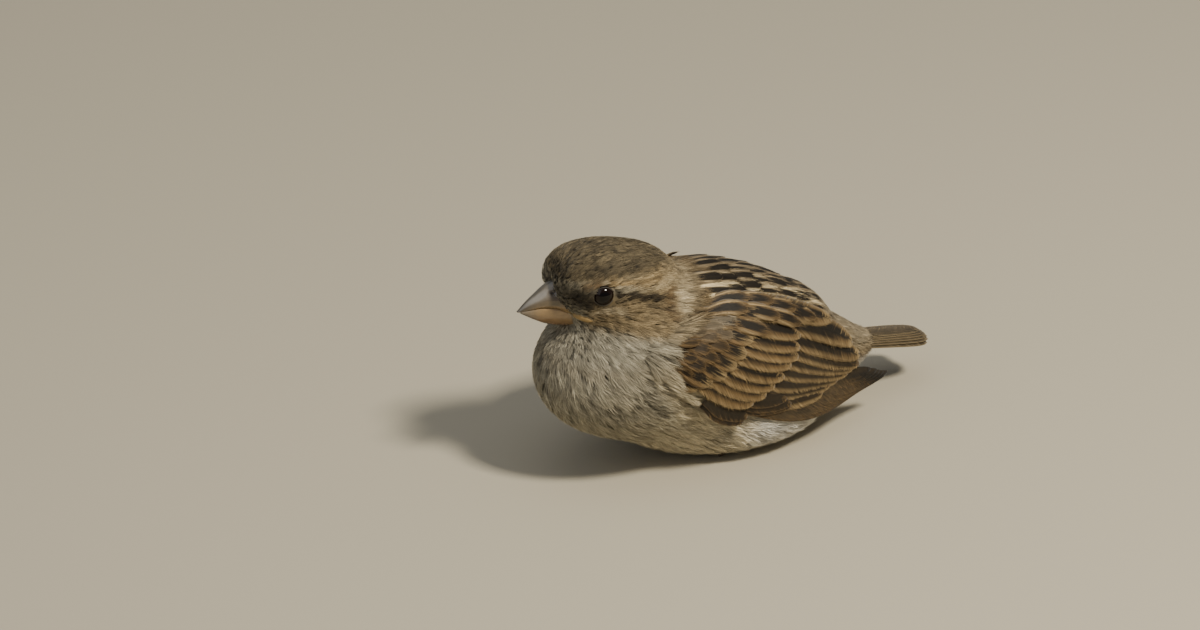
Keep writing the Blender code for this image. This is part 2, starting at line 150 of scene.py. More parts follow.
def make_piece(name, points, quads, triangles=None, uv=None, extra_uv=None, colour=None):
    """A smooth mesh piece from whole arrays. Points are in mm, quads and triangles are rows of point
    numbers, and colour is an RGB for each point. The maps give a pair for each point, or for each face
    corner in turn where a seam needs it."""
    faces = [np.asarray(f) for f in (quads, triangles) if f is not None]
    corners = np.concatenate([f.ravel() for f in faces]).astype(np.int32)
    sizes = np.concatenate([np.full(len(f), f.shape[1]) for f in faces])
    mesh = bpy.data.meshes.new(name)
    mesh.vertices.add(len(points))
    mesh.vertices.foreach_set("co", ((points - (0, MID_Y, 0)) * MM).astype(np.float32).ravel())
    mesh.loops.add(len(corners))
    mesh.loops.foreach_set("vertex_index", corners)
    mesh.polygons.add(len(sizes))
    mesh.polygons.foreach_set("loop_start", np.concatenate(((0,), np.cumsum(sizes)[:-1])).astype(np.int32))
    mesh.update(calc_edges=True)
    for label, values in (("OFBake", uv), ("along", extra_uv)):
        if values is not None:
            values = values[corners] if len(values) == len(points) else values
            layer = mesh.uv_layers.new(name=label)
            layer.uv.foreach_set("vector", values.astype(np.float32).ravel())
    if colour is not None:
        layer = mesh.color_attributes.new(name="plume", type="FLOAT_COLOR", domain="POINT")
        rgba = np.ones((len(points), 4), np.float32)
        rgba[:, :3] = np.clip(colour, 0, 1)
        layer.data.foreach_set("color", rgba.ravel())
    mesh.shade_smooth()
    piece = bpy.data.objects.new(name, mesh)
    bpy.context.scene.collection.objects.link(piece)
    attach(piece, "root")
    return piece


def grid_faces(rows, columns, looped=False):
    """Point numbers of the quads between the rows of a grid, each row closed round on itself, and the
    last row joined to the first where the grid is looped."""
    here = np.arange(rows if looped else rows - 1)[:, None]
    near, far = here * columns, (here + 1) % rows * columns
    across = np.arange(columns)
    after = (across + 1) % columns
    return np.stack((near + across, near + after, far + after, far + across), -1).reshape(-1, 4)


def end_fans(rows, columns):
    """Point numbers of the triangles that close a tube of such rows: a fan round the middle of its first
    row and one round the middle of its last, the two middles coming after the grid's own points."""
    across = np.arange(columns)
    after = (across + 1) % columns
    last = (rows - 1) * columns
    first_fan = np.stack((np.full(columns, rows * columns), after, across), -1)
    last_fan = np.stack((np.full(columns, rows * columns + 1), last + across, last + after), -1)
    return np.concatenate((first_fan, last_fan))


def turns(count):
    """Angles evenly spaced round a full turn."""
    return np.arange(count) * 2 * math.pi / count


def lay(under, over, share):
    """One colour laid over another: the share of the upper one, from 0 to 1, at each place."""
    return under + (over - under) * np.clip(share, 0, 1)[..., None]


def rgb(red, green, blue):
    """A colour named by its everyday 0 to 255 values, as linear light."""
    return (np.array((red, green, blue)) / 255.0) ** 2.2


CROWN, CROWN_DARK = rgb(90, 80, 61), rgb(62, 55, 42)
BROW, BROW_WARM = rgb(130, 111, 79), rgb(104, 80, 48)
EYE_STRIPE, CHESTNUT = rgb(42, 35, 25), rgb(84, 66, 43)
EAR, EAR_PALE = rgb(128, 112, 84), rgb(172, 158, 130)
LORE, THROAT, BREAST = rgb(48, 41, 30), rgb(150, 143, 124), rgb(150, 142, 121)
NECK_SIDE, NAPE, FLANK = rgb(182, 167, 135), rgb(122, 108, 83), rgb(196, 183, 154)
BELLY, VENT, RUMP, MANTLE = rgb(188, 177, 150), rgb(200, 194, 180), rgb(130, 117, 93), rgb(100, 85, 61)


def markings(points):
    """The plumage's ground colour at each point: soft-edged patches on the head, counted forward, left
    and up from its middle, and along the body by height, length and width, with painted shade laid
    in along a few creases and folds."""
    x, y, z = np.moveaxis(points, -1, 0)
    f, l, u = in_head(points)
    side = np.abs(l)

    # Body, from the belly up to the back.
    made = np.zeros(points.shape) + BREAST
    made = lay(made, BELLY, ease(20, 9, z) * ease(-22, -8, y))
    # Painted shade: a soft dark patch on each side of the breast, in the fold in front of the wing.
    fold_shade_patch = ((np.abs(x) - 16.5) / 4) ** 2 + ((y + 21) / 4) ** 2 + ((z - 22.5) / 3.5) ** 2
    made = lay(made, BREAST * 0.4, np.exp(-fold_shade_patch) * 0.7)
    made = lay(made, FLANK, ease(10, 17, np.abs(x)) * ease(-12, 0, y) * ease(24, 12, y) * 0.6)
    made = lay(made, VENT, ease(1, 9, y) * ease(14, 10, z) * ease(2, 6, z + 0.2 * y))
    back = ease(27, 33, z + 0.45 * np.clip(y, 0, 60)) * ease(-16, -8, y)
    made = lay(made, MANTLE, back)
    shoulder = ease(33, 36, z) * ease(-13, -9, y) * ease(-5, -9, y) * ease(6, 9, np.abs(x))
    made = lay(made, NECK_SIDE * 0.75, shoulder * 0.6)
    made = lay(made, RUMP, ease(19, 25, y) * ease(17, 21, z + 0.22 * (y - 20)))
    # Paler fringe of the breast where it laps over the front of the wing.
    ahead = y - np.interp(z, (14, 23, 29, 33), (-6, -11.5, -15.5, -17))
    fringe = ease(-7, -3, ahead) * ease(4, 1, ahead) * ease(33, 29, z) * ease(12, 18, z)
    made = lay(made, NECK_SIDE, fringe * 0.5)
    # Neck: pale at the sides, grey-brown behind.
    near_head = ease(18.5, 12.5, np.linalg.norm(points - HEAD_AT, axis=-1))
    made = lay(made, NECK_SIDE, near_head * ease(2, -6, f) * ease(-14, -9, u))
    made = lay(made, NAPE, near_head * ease(-6, -11, f) * ease(7.5, 4.5, side) * ease(-8, -3, u))
    # Throat and chin.
    near_chin = ease(21, 13, np.linalg.norm(points - from_head((7, 0, -8)), axis=-1))
    made = lay(made, THROAT, near_chin * ease(-2, -5, u))
    # Cheek, bordered behind by warm brown.
    cheek = ease(-12.8, -8.2, f + 0.25 * u) * ease(10.5, 7.5, f) * ease(-7.6, -5.0, u - 0.18 * f)
    made = lay(made, EAR, cheek * ease(4.0, 1.0, u) * ease(3, 5, side))
    # Painted shade: a darker line along the crease where the throat feathers overhang the breast.
    fold_line = -12.6 + 0.35 * np.clip(2 - f, 0, 12) + 0.02 * np.clip(f - 9, 0, 9) ** 2
    fold = np.exp(-(((u - fold_line) / 1.1) ** 2)) * ease(-9, -3, f)
    made = lay(made, FLANK * 0.4, fold * ease(26, 22, np.linalg.norm(points - HEAD_AT, axis=-1)) * 0.75)
    # Painted shade: a dark line down the crease in the feathers below the corner of the bill.
    malar_crease_shade = np.exp(-(((f - 7.2 + 0.45 * (u + 4)) / 0.8) ** 2)) * ease(-9.5, -7, u) * ease(-3.2, -4.4, u)
    made = lay(made, LORE, malar_crease_shade * ease(3, 5, side) * 0.55)
    border = np.exp(-(((f + 8.6 + 0.10 * (u + 2) ** 2) / 1.5) ** 2)) * ease(-7, -4, u) * ease(3, 1, u)
    made = lay(made, CHESTNUT, border * ease(4, 6, side) * 0.8)
    crescent = np.exp(-(((u + 0.7 + 0.07 * (f - 5) ** 2) / 0.75) ** 2))
    made = lay(made, EAR_PALE, crescent * ease(9.0, 7.5, f) * ease(-0.5, 3, f) * 0.75)
    # Crown, brow and dark stripe behind the eye.
    made = lay(made, CROWN, ease(4.6, 6.4, u + 0.10 * np.clip(-f, 0, 20)) * ease(-12.5, -9, f))
    crown_edge = np.exp(-(((u - 7.0 - 0.05 * f) / 1.1) ** 2)) * ease(-9, -5, f) * ease(12, 9, f)
    made = lay(made, CROWN_DARK, crown_edge * 0.6)
    brow_line = 4.55 + 0.14 * np.minimum(f, 5) + 0.012 * np.minimum(f, 5) ** 2 - 0.2 * np.clip(f - 5, 0, 9)
    brow_width = 0.85 + 0.08 * np.clip(3 - f, 0, 9)
    brow = np.exp(-(((u - brow_line) / brow_width) ** 2)) * ease(4, 6, side)
    made = lay(made, BROW, brow * ease(6.4, 4.0, f) * ease(-9.5, -6.5, f))
    made = lay(made, EAR, brow * ease(-6.5, -9.0, f) * ease(-13, -11, f) * 0.8)
    made = lay(made, BROW_WARM, brow * ease(5.5, 7, f) * ease(11.5, 9.5, f) * 0.8)
    stripe_line = 2.0 + 0.28 * np.clip(f, -12, 3) - 0.005 * f * f
    stripe = np.exp(-(((u - stripe_line) / (0.75 + 0.05 * np.clip(3 - f, 0, 12))) ** 4))
    made = lay(made, EYE_STRIPE, stripe * ease(3.9, 2.4, f) * ease(-8.5, -5.5, f) * ease(4, 6, side) * 0.95)
    # Dark lores and the bristly feathers over the bill.
    made = lay(made, CROWN_DARK, ease(10.5, 12.5, f) * ease(1.5, 3.5, u) * 0.4)
    lore = np.exp(-(((f - 10.2) / 3.8) ** 2 + ((u - 2.0 - 0.12 * (f - 9)) / 2.7) ** 2) ** 1.6)
    return lay(made, LORE, lore * ease(2, 4, side) * 0.95)


def lie(points, normals):
    """The way the feathers point: back from the bill over head, throat and breast, then along the
    trunk towards the tail, always flat along the surface."""
    bill = from_head((11.5, 0, -1.0))
    away = unit(points - bill)
    share = ease(14, 46, np.linalg.norm(points - bill, axis=-1))[..., None]
    along = unit(BODY_REAR - BODY_FRONT)
    way = away * (1 - share) + along * share
    return unit(way - (way * normals).sum(-1, keepdims=True) * normals)


def coat_depth(points):
    """How deep the skin lies under the feather tips: least on the face, most on the body."""
    return 0.45 + 0.95 * ease(10, 34, np.linalg.norm(points - from_head((12, 0, -1)), axis=-1))


RINGS, SIDES = 190, 168
MAP_WIDTH, MAP_EDGE = (0.96, 1), (0.01, 0)  # the unrolled skin leaves a margin for its seam on the map
ring_share = (np.arange(RINGS) + 0.5) / RINGS
tilt = np.radians(np.interp(ring_share, (0, 0.50, 0.78, 1), (0, 90, 90, 180)))
axis = unit(BODY_REAR - BODY_FRONT)
upright = np.array((0, -axis[2], axis[1]))
round_angle = turns(SIDES)
from_share = np.interp(ring_share, (0.50, 0.78), (0, 1))[:, None, None]
hull_from = BODY_FRONT + from_share * (BODY_REAR - BODY_FRONT) + np.zeros((RINGS, SIDES, 3))
spoke = np.cos(round_angle)[:, None] * upright + np.sin(round_angle)[:, None] * np.array((1.0, 0, 0))
hull_way = np.sin(tilt)[:, None, None] * spoke - np.cos(tilt)[:, None, None] * axis
hull = hull_from + hull_way * reach(hull_from, hull_way)[..., None]
hull_normal = outward(hull)
ring_gap = np.linalg.norm(np.diff(hull, axis=0), axis=-1).mean(1)
hull_v = np.concatenate(((0,), np.cumsum(ring_gap)))
hull_v = 0.02 + 0.96 * hull_v / hull_v[-1]

skin_points = hull - hull_normal * coat_depth(hull)[..., None]
skin_points[..., 2] = np.maximum(skin_points[..., 2], 0.45)
skin_ends = np.stack((skin_points[0].mean(0), skin_points[-1].mean(0)))
skin_quads = grid_faces(RINGS, SIDES)
skin_all = np.concatenate((skin_points.reshape(-1, 3), skin_ends))
quad_uv = np.stack((skin_quads % SIDES / SIDES, hull_v[skin_quads // SIDES]), -1)
wrap = (quad_uv[..., 0].max(1) - quad_uv[..., 0].min(1)) > 0.5
quad_uv[..., 0] = np.where(wrap[:, None] & (quad_uv[..., 0] < 0.5), quad_uv[..., 0] + 1, quad_uv[..., 0])
end_uv = np.stack((np.arange(SIDES) + 0.5, np.arange(SIDES), np.arange(SIDES) + 1), -1) / SIDES
front_uv = np.stack((end_uv[:, (0, 2, 1)], np.array((0.0, hull_v[0], hull_v[0])) + 0 * end_uv), -1)
back_uv = np.stack((end_uv, np.array((1.0, hull_v[-1], hull_v[-1])) + 0 * end_uv), -1)
skin_uv = np.concatenate((quad_uv.reshape(-1, 2), front_uv.reshape(-1, 2), back_uv.reshape(-1, 2)))
# Painted shade: the skin takes the plumage colours at 0.55 of their strength, so the gaps between feathers
# read as shadowed depth.
skin = make_piece(
    "skin",
    skin_all,
    skin_quads,
    end_fans(RINGS, SIDES),
    uv=skin_uv * MAP_WIDTH + MAP_EDGE,
    colour=markings(skin_all) * 0.55,
)
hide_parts("head", "neck", "trunk")


def new_material(name, roughness, specular):
    """A material with its shader, ready to be wired up. Returns the material, its node tree and shader."""
    made = bpy.data.materials.new(name)
    made.use_nodes = True
    shader = made.node_tree.nodes["Principled BSDF"]
    shader.inputs["Roughness"].default_value = roughness
    shader.inputs["Specular IOR Level"].default_value = specular
    return made, made.node_tree, shader


def add_node(tree, kind, inputs=None, **settings):
    """A node in the tree: its settings, then its inputs, each a plain value or another node's output."""
    node = tree.nodes.new("ShaderNode" + kind)
    for label, value in settings.items():
        setattr(node, label, value)
    for label, value in (inputs or {}).items():
        if isinstance(value, bpy.types.NodeSocket):
            tree.links.new(value, node.inputs[label])
        else:
            node.inputs[label].default_value = value
    return node


def add_relief(tree, shader, height, strength, depth):
    """The shader's surface raised by a height, its full range `depth` mm deep."""
    relief = add_node(tree, "Bump", {"Strength": strength, "Distance": depth * MM, "Height": height})
    tree.links.new(relief.outputs["Normal"], shader.inputs["Normal"])


def mottle_group():
    """Shared effect: the plume colour broken up by fine and broad cloudy patches, and a fine height."""
    group = bpy.data.node_groups.new("plume_mottle", "ShaderNodeTree")
    for label, kind, way in (
        ("Strength", "NodeSocketFloat", "INPUT"),
        ("Grain", "NodeSocketFloat", "INPUT"),
        ("Colour", "NodeSocketColor", "OUTPUT"),
        ("Height", "NodeSocketFloat", "OUTPUT"),
    ):
        group.interface.new_socket(label, in_out=way, socket_type=kind)
    given, out = group.nodes.new("NodeGroupInput").outputs, group.nodes.new("NodeGroupOutput").inputs
    plume = add_node(group, "Attribute", attribute_name="plume").outputs["Color"]
    place = add_node(group, "TexCoord").outputs["Object"]
    fine = add_node(group, "TexNoise", {"Vector": place, "Scale": given["Grain"], "Detail": 3})
    fine = fine.outputs["Fac"]
    broad = add_node(group, "TexNoise", {"Vector": place, "Scale": 160}).outputs["Fac"]
    both = add_node(group, "Math", {0: fine, 1: broad}, operation="ADD").outputs[0]
    centred = add_node(group, "Math", {0: both, 1: 1.0}, operation="SUBTRACT").outputs[0]
    scaled = add_node(group, "Math", {0: centred, 1: given["Strength"], 2: 1.0}, operation="MULTIPLY_ADD")
    scaled = scaled.outputs[0]
    tint = add_node(group, "VectorMath", {0: plume, "Scale": scaled}, operation="SCALE").outputs[0]
    group.links.new(tint, out["Colour"])
    group.links.new(fine, out["Height"])
    return group


PLUME_MOTTLE = mottle_group()


def plume_material(name, strength, grain, roughness, relief=0.0, sheen=0.0):
    """Soft feather stuff: the piece's own plume colour, mottled, with a slight silky sheen."""
    made, tree, shader = new_material(name, roughness, 0.22)
    mottle = add_node(tree, "Group", {"Strength": strength, "Grain": grain}, node_tree=PLUME_MOTTLE)
    tree.links.new(mottle.outputs["Colour"], shader.inputs["Base Color"])
    if relief:
        add_relief(tree, shader, mottle.outputs["Height"], 0.6, relief)
    shader.inputs["Sheen Weight"].default_value = sheen
    shader.inputs["Sheen Roughness"].default_value = 0.5
    return made


downy_skin = plume_material("downy_skin", strength=0.35, grain=900, roughness=0.85, relief=0.25)
skin.data.materials.append(downy_skin)

# ---- soft plumage ----------------------------------------------------------------------------------
# Small body feathers whose loose barbs part into fine hair-like tips. They overlap like tiles, each
# lying over the roots of those behind it, shortest on the face and longest on the belly.

BARB_AT = np.array((0.0, 0.42, 0.76, 1.0))  # a soft barb's stations along its length
POINT_STATION = np.array((0, 0, 1, 1, 2, 2, 3))  # the station of each of a barb's seven mesh points
BARB_STATIONS = len(BARB_AT)


def scatter(spacing, wanted, seed):
    """Feather roots over the body no closer than the spacing, where `wanted` of a place is above a random
    draw: places picked by area, then thinned one by one against those already kept nearby.
    Returns their positions and their places on the unrolled skin."""
    draw = np.random.default_rng(seed)
    inner = hull[:-1]
    length = np.linalg.norm(hull[1:] - inner, axis=-1)
    width = np.linalg.norm(np.roll(inner, -1, axis=1) - inner, axis=-1)
    area = (length * width).ravel()
    area = area * (wanted(inner.reshape(-1, 3)) > 0)
    count = int(7 * area.sum() / spacing**2)
    cell = draw.choice(len(area), count, p=area / area.sum())
    ring, side = cell // SIDES, cell % SIDES
    a, b = draw.random((2, count, 1))
    after = (side + 1) % SIDES
    at = (1 - a) * ((1 - b) * hull[ring, side] + b * hull[ring, after])
    at = at + a * ((1 - b) * hull[ring + 1, side] + b * hull[ring + 1, after])
    keep = draw.random(count) < wanted(at)
    at, ring, side, a, b = at[keep], ring[keep], side[keep], a[keep, 0], b[keep, 0]
    kept, near = [], {}
    keys = np.floor(at / spacing).astype(int)
    places = at.tolist()
    for k, (i, j, h) in enumerate(keys.tolist()):
        px, py, pz = places[k]
        clash = False
        for di in (-1, 0, 1):
            for dj in (-1, 0, 1):
                for dh in (-1, 0, 1):
                    for qx, qy, qz in near.get((i + di, j + dj, h + dh), ()):
                        if (qx - px) ** 2 + (qy - py) ** 2 + (qz - pz) ** 2 < spacing**2:
                            clash = True
        if not clash:
            near.setdefault((i, j, h), []).append((px, py, pz))
            kept.append(k)
    kept = np.array(kept)
    unrolled = np.stack(((side[kept] + b[kept]) / SIDES, hull_v[ring[kept]] * (1 - a[kept])), -1)
    unrolled[:, 1] += hull_v[ring[kept] + 1] * a[kept]
    return at[kept], unrolled * MAP_WIDTH + MAP_EDGE


def follow(roots, lengths, depth, proud, steps, turn=0.0):
    """Each feather's middle line: steps along the lie of the plumage, kept on the body's form, rising
    from the skin at its root to a little above the form at its tip. Returns points, normals, ways."""
    rise = (0.0, 0.62, 0.9, 1.0) if steps == BARB_STATIONS else tuple(np.linspace(0, 1, steps) ** 0.6)
    at, points, normals, ways = roots, [], [], []
    for k in range(steps):
        normal = outward(at)
        at = at - normal * body_distance(at)[:, None]
        way = lie(at, normal)
        way = unit(way + np.cross(normal, way) * np.broadcast_to(turn, len(at))[:, None])
        level = -depth + (depth + proud) * rise[k]
        points.append(at + normal * np.broadcast_to(level, len(at))[:, None])
        normals.append(normal)
        ways.append(way)
        at = at + way * (lengths / (steps - 1))[:, None]
    return np.stack(points, 1), np.stack(normals, 1), np.stack(ways, 1)


def read_between(stations, at):
    """Weights that read a line given at evenly spaced stations at other shares: Lagrange's formula."""
    places = np.linspace(0, 1, stations)
    weights = []
    for i in range(stations):
        others = [j for j in range(stations) if j != i]
        weights.append(np.prod([(at - places[j]) / (places[i] - places[j]) for j in others], axis=0))
    return np.stack(weights, -1)


def barb_strips(line, half):
    """Barbs as flat strips: two narrow bands and a point, seven mesh points to each four-station line.
    Returns the mesh points, then the quads and triangles between them."""
    low, high = line - half, line + half
    points = [end[:, :, station] for station in range(3) for end in (low, high)] + [line[:, :, 3]]
    first = np.arange(line.shape[0] * line.shape[1])[:, None] * len(points)
    quads = (first[:, None] + np.array(((0, 2, 3, 1), (2, 4, 5, 3)))).reshape(-1, 4)
    return np.stack(points, 2), quads, first + np.array((4, 6, 5))


def tufts(name, roots, unrolled, lengths, widths, barbs, seed, proud=0.1, loose=0.12, barb=0.15,
          tones=(0.55, 1.1), spread=0.10, sway=0.14, variety=0.13):
    """Soft feathers: each is a fan of flat tapering barbs from one root, outer barbs shorter, tips parting.
    They are darker at the root and paler at the tip."""
    draw = np.random.default_rng(seed)
    n = len(roots)
    turn = draw.normal(0, sway, n)
    middle, normals, ways = follow(roots, lengths, coat_depth(roots), proud, BARB_STATIONS, turn)
    v = np.linspace(-1, 1, barbs) + draw.normal(0, 0.35 / barbs, (n, barbs))
    share = (1 - 0.38 * v * v) * (1 + draw.normal(0, spread, (n, barbs)))
    u = BARB_AT * share[..., None]
    weights = read_between(BARB_STATIONS, u)
    point = np.einsum("nbks,nsc->nbkc", weights, middle)
    normal = unit(np.einsum("nbks,nsc->nbkc", weights, normals))
    way = unit(np.einsum("nbks,nsc->nbkc", weights, ways))
    side = np.cross(normal, way)
    fan = (0.18 + 0.82 * np.clip(u, 0, 1.2) ** 0.8) * v[..., None] * widths[:, None, None] / 2
    fan = fan + draw.normal(0, loose, (n, barbs, 1)) * u**2
    lift = draw.normal(0, 0.45 * loose, (n, barbs, 1)) * u**2 - fan**2 / 34
    point = point + side * fan[..., None] + normal * lift[..., None]
    roll = draw.normal(0, 0.42, (n, barbs, 1, 1))
    half = side * np.cos(roll) + normal * np.sin(roll)
    half = half * (0.5 * barb * np.array((0.85, 1.0, 0.62, 0.0)))[:, None]
    corners, quads, triangles = barb_strips(point, half)
    corners[..., 2] = np.maximum(corners[..., 2], 0.03)
    along = BARB_AT[POINT_STATION]
    tone = tones[0] + (tones[1] - tones[0]) * along**0.8
    tone = tone * (1 + draw.normal(0, variety, (n, 1, 1))) * (1 + draw.normal(0, 0.12, (n, barbs, 1)))
    colour = markings(middle[:, 1])[:, None, None, :] * np.clip(tone, 0.1, 3)[..., None]
    patch = np.stack(np.broadcast_arrays((v[..., None] + 1) / 2, along), -1) - 0.5
    uv = unrolled[:, None, None, :] + patch * 0.003
    uv = np.clip(uv, 0.001, 0.999).reshape(-1, 2)
    return make_piece(name, corners.reshape(-1, 3), quads, triangles, uv=uv, colour=colour.reshape(-1, 3))


def clear_of(points, eye_room=2.75):
    """True where a feather root is clear of the eyes and isn't inside the bill."""
    f, l, u = in_head(points)
    room = np.where(f < EYE_AT[0], eye_room - 0.5, eye_room)
    eye = (f - EYE_AT[0]) ** 2 + (u - EYE_AT[2]) ** 2 > room**2
    bill = (f > 9) & (np.abs(l) < 4.3 - 0.45 * (f - 8.2)) & (u < 5.2 - 0.25 * (f - 8.2)) & (u > -5.8)
    return (eye | (np.abs(l) < EYE_SIDE)) & ~bill


def under_wing(points):
    """1 on the part of the body that the folded wings cover, 0 elsewhere."""
    x, y, z = np.moveaxis(points, -1, 0)
    edge = np.interp(y, (-19, -13, -2, 14, 30, 45), (30.0, 22.5, 13.6, 10.2, 8.6, 8.6))
    top = np.interp(y, (-12, -4, 4, 18, 31, 40), (33.0, 36.5, 37.5, 33.0, 25.5, 17.0))
    front = np.interp(z, (14, 22, 30, 33, 36, 38), (-5.5, -12.5, -16.5, -15.5, -7.0, -3.0))
    inside = ease(-1.5, 1.5, y - front) * ease(0, 1.5, z - edge) * ease(0, 1.5, top - z)
    return inside * ease(7, 9, np.abs(x))


def on_head(points):
    """1 on the head, fading out at the neck."""
    return ease(19, 15, np.linalg.norm(points - from_head((2, 0, 0)), axis=-1))


coats = []


def coat(name, wanted, spacing, length, width, barbs, seed, **finish):
    """One tract of soft feathers: scattered roots, lengths and widths varied a little, laid as tufts.
    They are shortened where they would cross the eye, and lengthened where they lap over the wing."""
    roots, unrolled = scatter(spacing, lambda p: wanted(p) * clear_of(p), seed)
    draw = np.random.default_rng(seed + 1)
    lengths = length(roots) * (1 + draw.normal(0, 0.12, len(roots)))
    widths = width * (1 + draw.normal(0, 0.12, len(roots)))
    way = lie(roots, outward(roots))
    for _ in range(8):
        for share in (0.5, 1.0):
            f, l, u = in_head(roots + way * (lengths * share)[:, None])
            over_eye = ((f - EYE_AT[0]) ** 2 + (u - EYE_AT[2]) ** 2 < 2.5**2) & (np.abs(l) > EYE_SIDE)
            lengths = np.where(over_eye, lengths * 0.75, lengths)
    over_wing = ease(0.02, 0.4, under_wing(roots + way * lengths[:, None])) * ease(-4, -8, roots[:, 1])
    finish["proud"] = finish["proud"] + 1.3 * over_wing
    lengths = lengths * (1 + 0.35 * over_wing)
    coats.append(tufts(name, roots, unrolled, lengths, widths, barbs, seed + 2, **finish))


def head_length(points):
    return 1.5 + 2.6 * ease(4, 24, np.linalg.norm(points - from_head((11, 0, 0)), axis=-1))


def is_crown(points):
    return on_head(points) * (in_head(points)[2] > 3.4)


def is_cheek(points):
    return on_head(points) * (in_head(points)[2] <= 3.4)


def is_front(points):
    y, z = points[..., 1], points[..., 2]
    return (on_head(points) < 0.5) * (y < -4) * (z > 1.0) * (1 - under_wing(points))


def is_belly(points):
    y, z = points[..., 1], points[..., 2]
    return (y >= -4) * (z < 17) * (z > -0.2) * (1 - under_wing(points))


def is_back(points):
    y, z = points[..., 1], points[..., 2]
    return (on_head(points) < 0.5) * (y >= -4) * (z >= 17 - 0.15 * y) * (1 - under_wing(points))


def evenly(length):
    """The same length for a feather wherever its root is."""
    return lambda points: length + 0 * points[..., 0]


coat("coat_crown", is_crown, spacing=0.56, length=head_length, width=1.2, barbs=12, seed=11,
     proud=0.10, loose=0.12, barb=0.105, tones=(0.36, 1.38), variety=0.32)
coat("coat_cheek", is_cheek, spacing=0.56, length=head_length, width=1.25, barbs=12, seed=21,
     proud=0.08, loose=0.16, barb=0.10, tones=(0.42, 1.28), variety=0.26)
for left, tract in ((True, "left"), (False, "right")):
    coat(f"coat_breast_{tract}", lambda p: is_front(p) * ((p[..., 0] > 0) == left), spacing=0.80,
         length=evenly(5.0), width=2.1, barbs=14, seed=31 + 10 * left,
         proud=0.18, loose=0.32, barb=0.125, tones=(0.33, 1.3), sway=0.24, variety=0.27)
coat("coat_belly", is_belly, spacing=0.92, length=evenly(5.6), width=2.4, barbs=13, seed=51,
     proud=0.25, loose=0.36, barb=0.14, tones=(0.38, 1.3), sway=0.24, variety=0.25)
coat("coat_back", is_back, spacing=0.98, length=evenly(5.0), width=2.3, barbs=12, seed=61,
     proud=0.0, loose=0.16, barb=0.13, tones=(0.55, 1.15))
soft_plume = plume_material("soft_plume", strength=0.30, grain=2500, roughness=0.72, sheen=0.12)
for piece in coats:
    piece.data.materials.append(soft_plume)

# ---- vaned feathers --------------------------------------------------------------------------------
# The builder for flat feathers: a thin curved blade of two vanes either side of a raised shaft, with
# separate barbs lying over it that slant out to the edge and fray it a little.

VANE_ACROSS = np.array((-1, -0.72, -0.42, -0.14, 0, 0.14, 0.42, 0.72, 1.0))
VANE_EDGE = len(VANE_ACROSS) - 1  # the number of the far edge's point in a ring round the blade
VANE_ROWS = 22
VANE_STATIONS = 5  # places along a feather's middle line


def vane_half(u, shape):
    """Half-width share along a feather: `root` at its start, 1 at `widest`, rounded off to the tip. A
    smaller `roundness` gives a more pointed tip."""
    root, widest, roundness = shape
    rise = root + (1 - root) * ease(0, widest, u)
    fall = np.clip(1 - np.clip((u - widest) / (1.005 - widest), 0, 1) ** roundness, 0, 1) ** (1 / 2.0)
    return np.where(u < widest, rise, np.maximum(fall, 0.02))


def for_each(values, like):
    """One value a feather, shaped to multiply an array of places on the feathers."""
    return values[(slice(None),) + (None,) * (like.ndim - 1)]


def vane_points(middle, normals, half, shape, roll, camber, u, w):
    """Points on feathers at share u along and w across, with their normals. The middle lines are read
    between their stations; the blade leans by `roll` and curls down across its width."""
    weights = read_between(VANE_STATIONS, u)
    point = np.einsum("n...s,nsc->n...c", weights, middle)
    normal = unit(np.einsum("n...s,nsc->n...c", weights, normals))
    slope = read_between(VANE_STATIONS, u + 0.01) - read_between(VANE_STATIONS, u - 0.01)
    side = unit(np.cross(np.einsum("n...s,nsc->n...c", slope, middle), normal))
    span = w * vane_half(u, shape) * for_each(half, u)
    height = span * for_each(roll, u) * np.clip(u * 2.2, 0, 1) - span**2 / (2 * camber)
    return point + side * span[..., None] + normal * height[..., None], normal


def vane_ends():
    """Quads and triangles that close a blade's first and last ring, joining its top to its underside."""
    around = 2 * VANE_EDGE
    quads, triangles = [], []
    for start, order in ((0, -1), ((VANE_ROWS - 1) * around, 1)):
        for j in range(1, VANE_EDGE - 1):
            quads.append([start + j, start + j + 1, start + around - 1 - j, start + around - j][::order])
        for corner in ((0, 1, around - 1), (VANE_EDGE - 1, VANE_EDGE, VANE_EDGE + 1)):
            triangles.append([start + k for k in corner][::order])
    return np.array(quads), np.array(triangles)


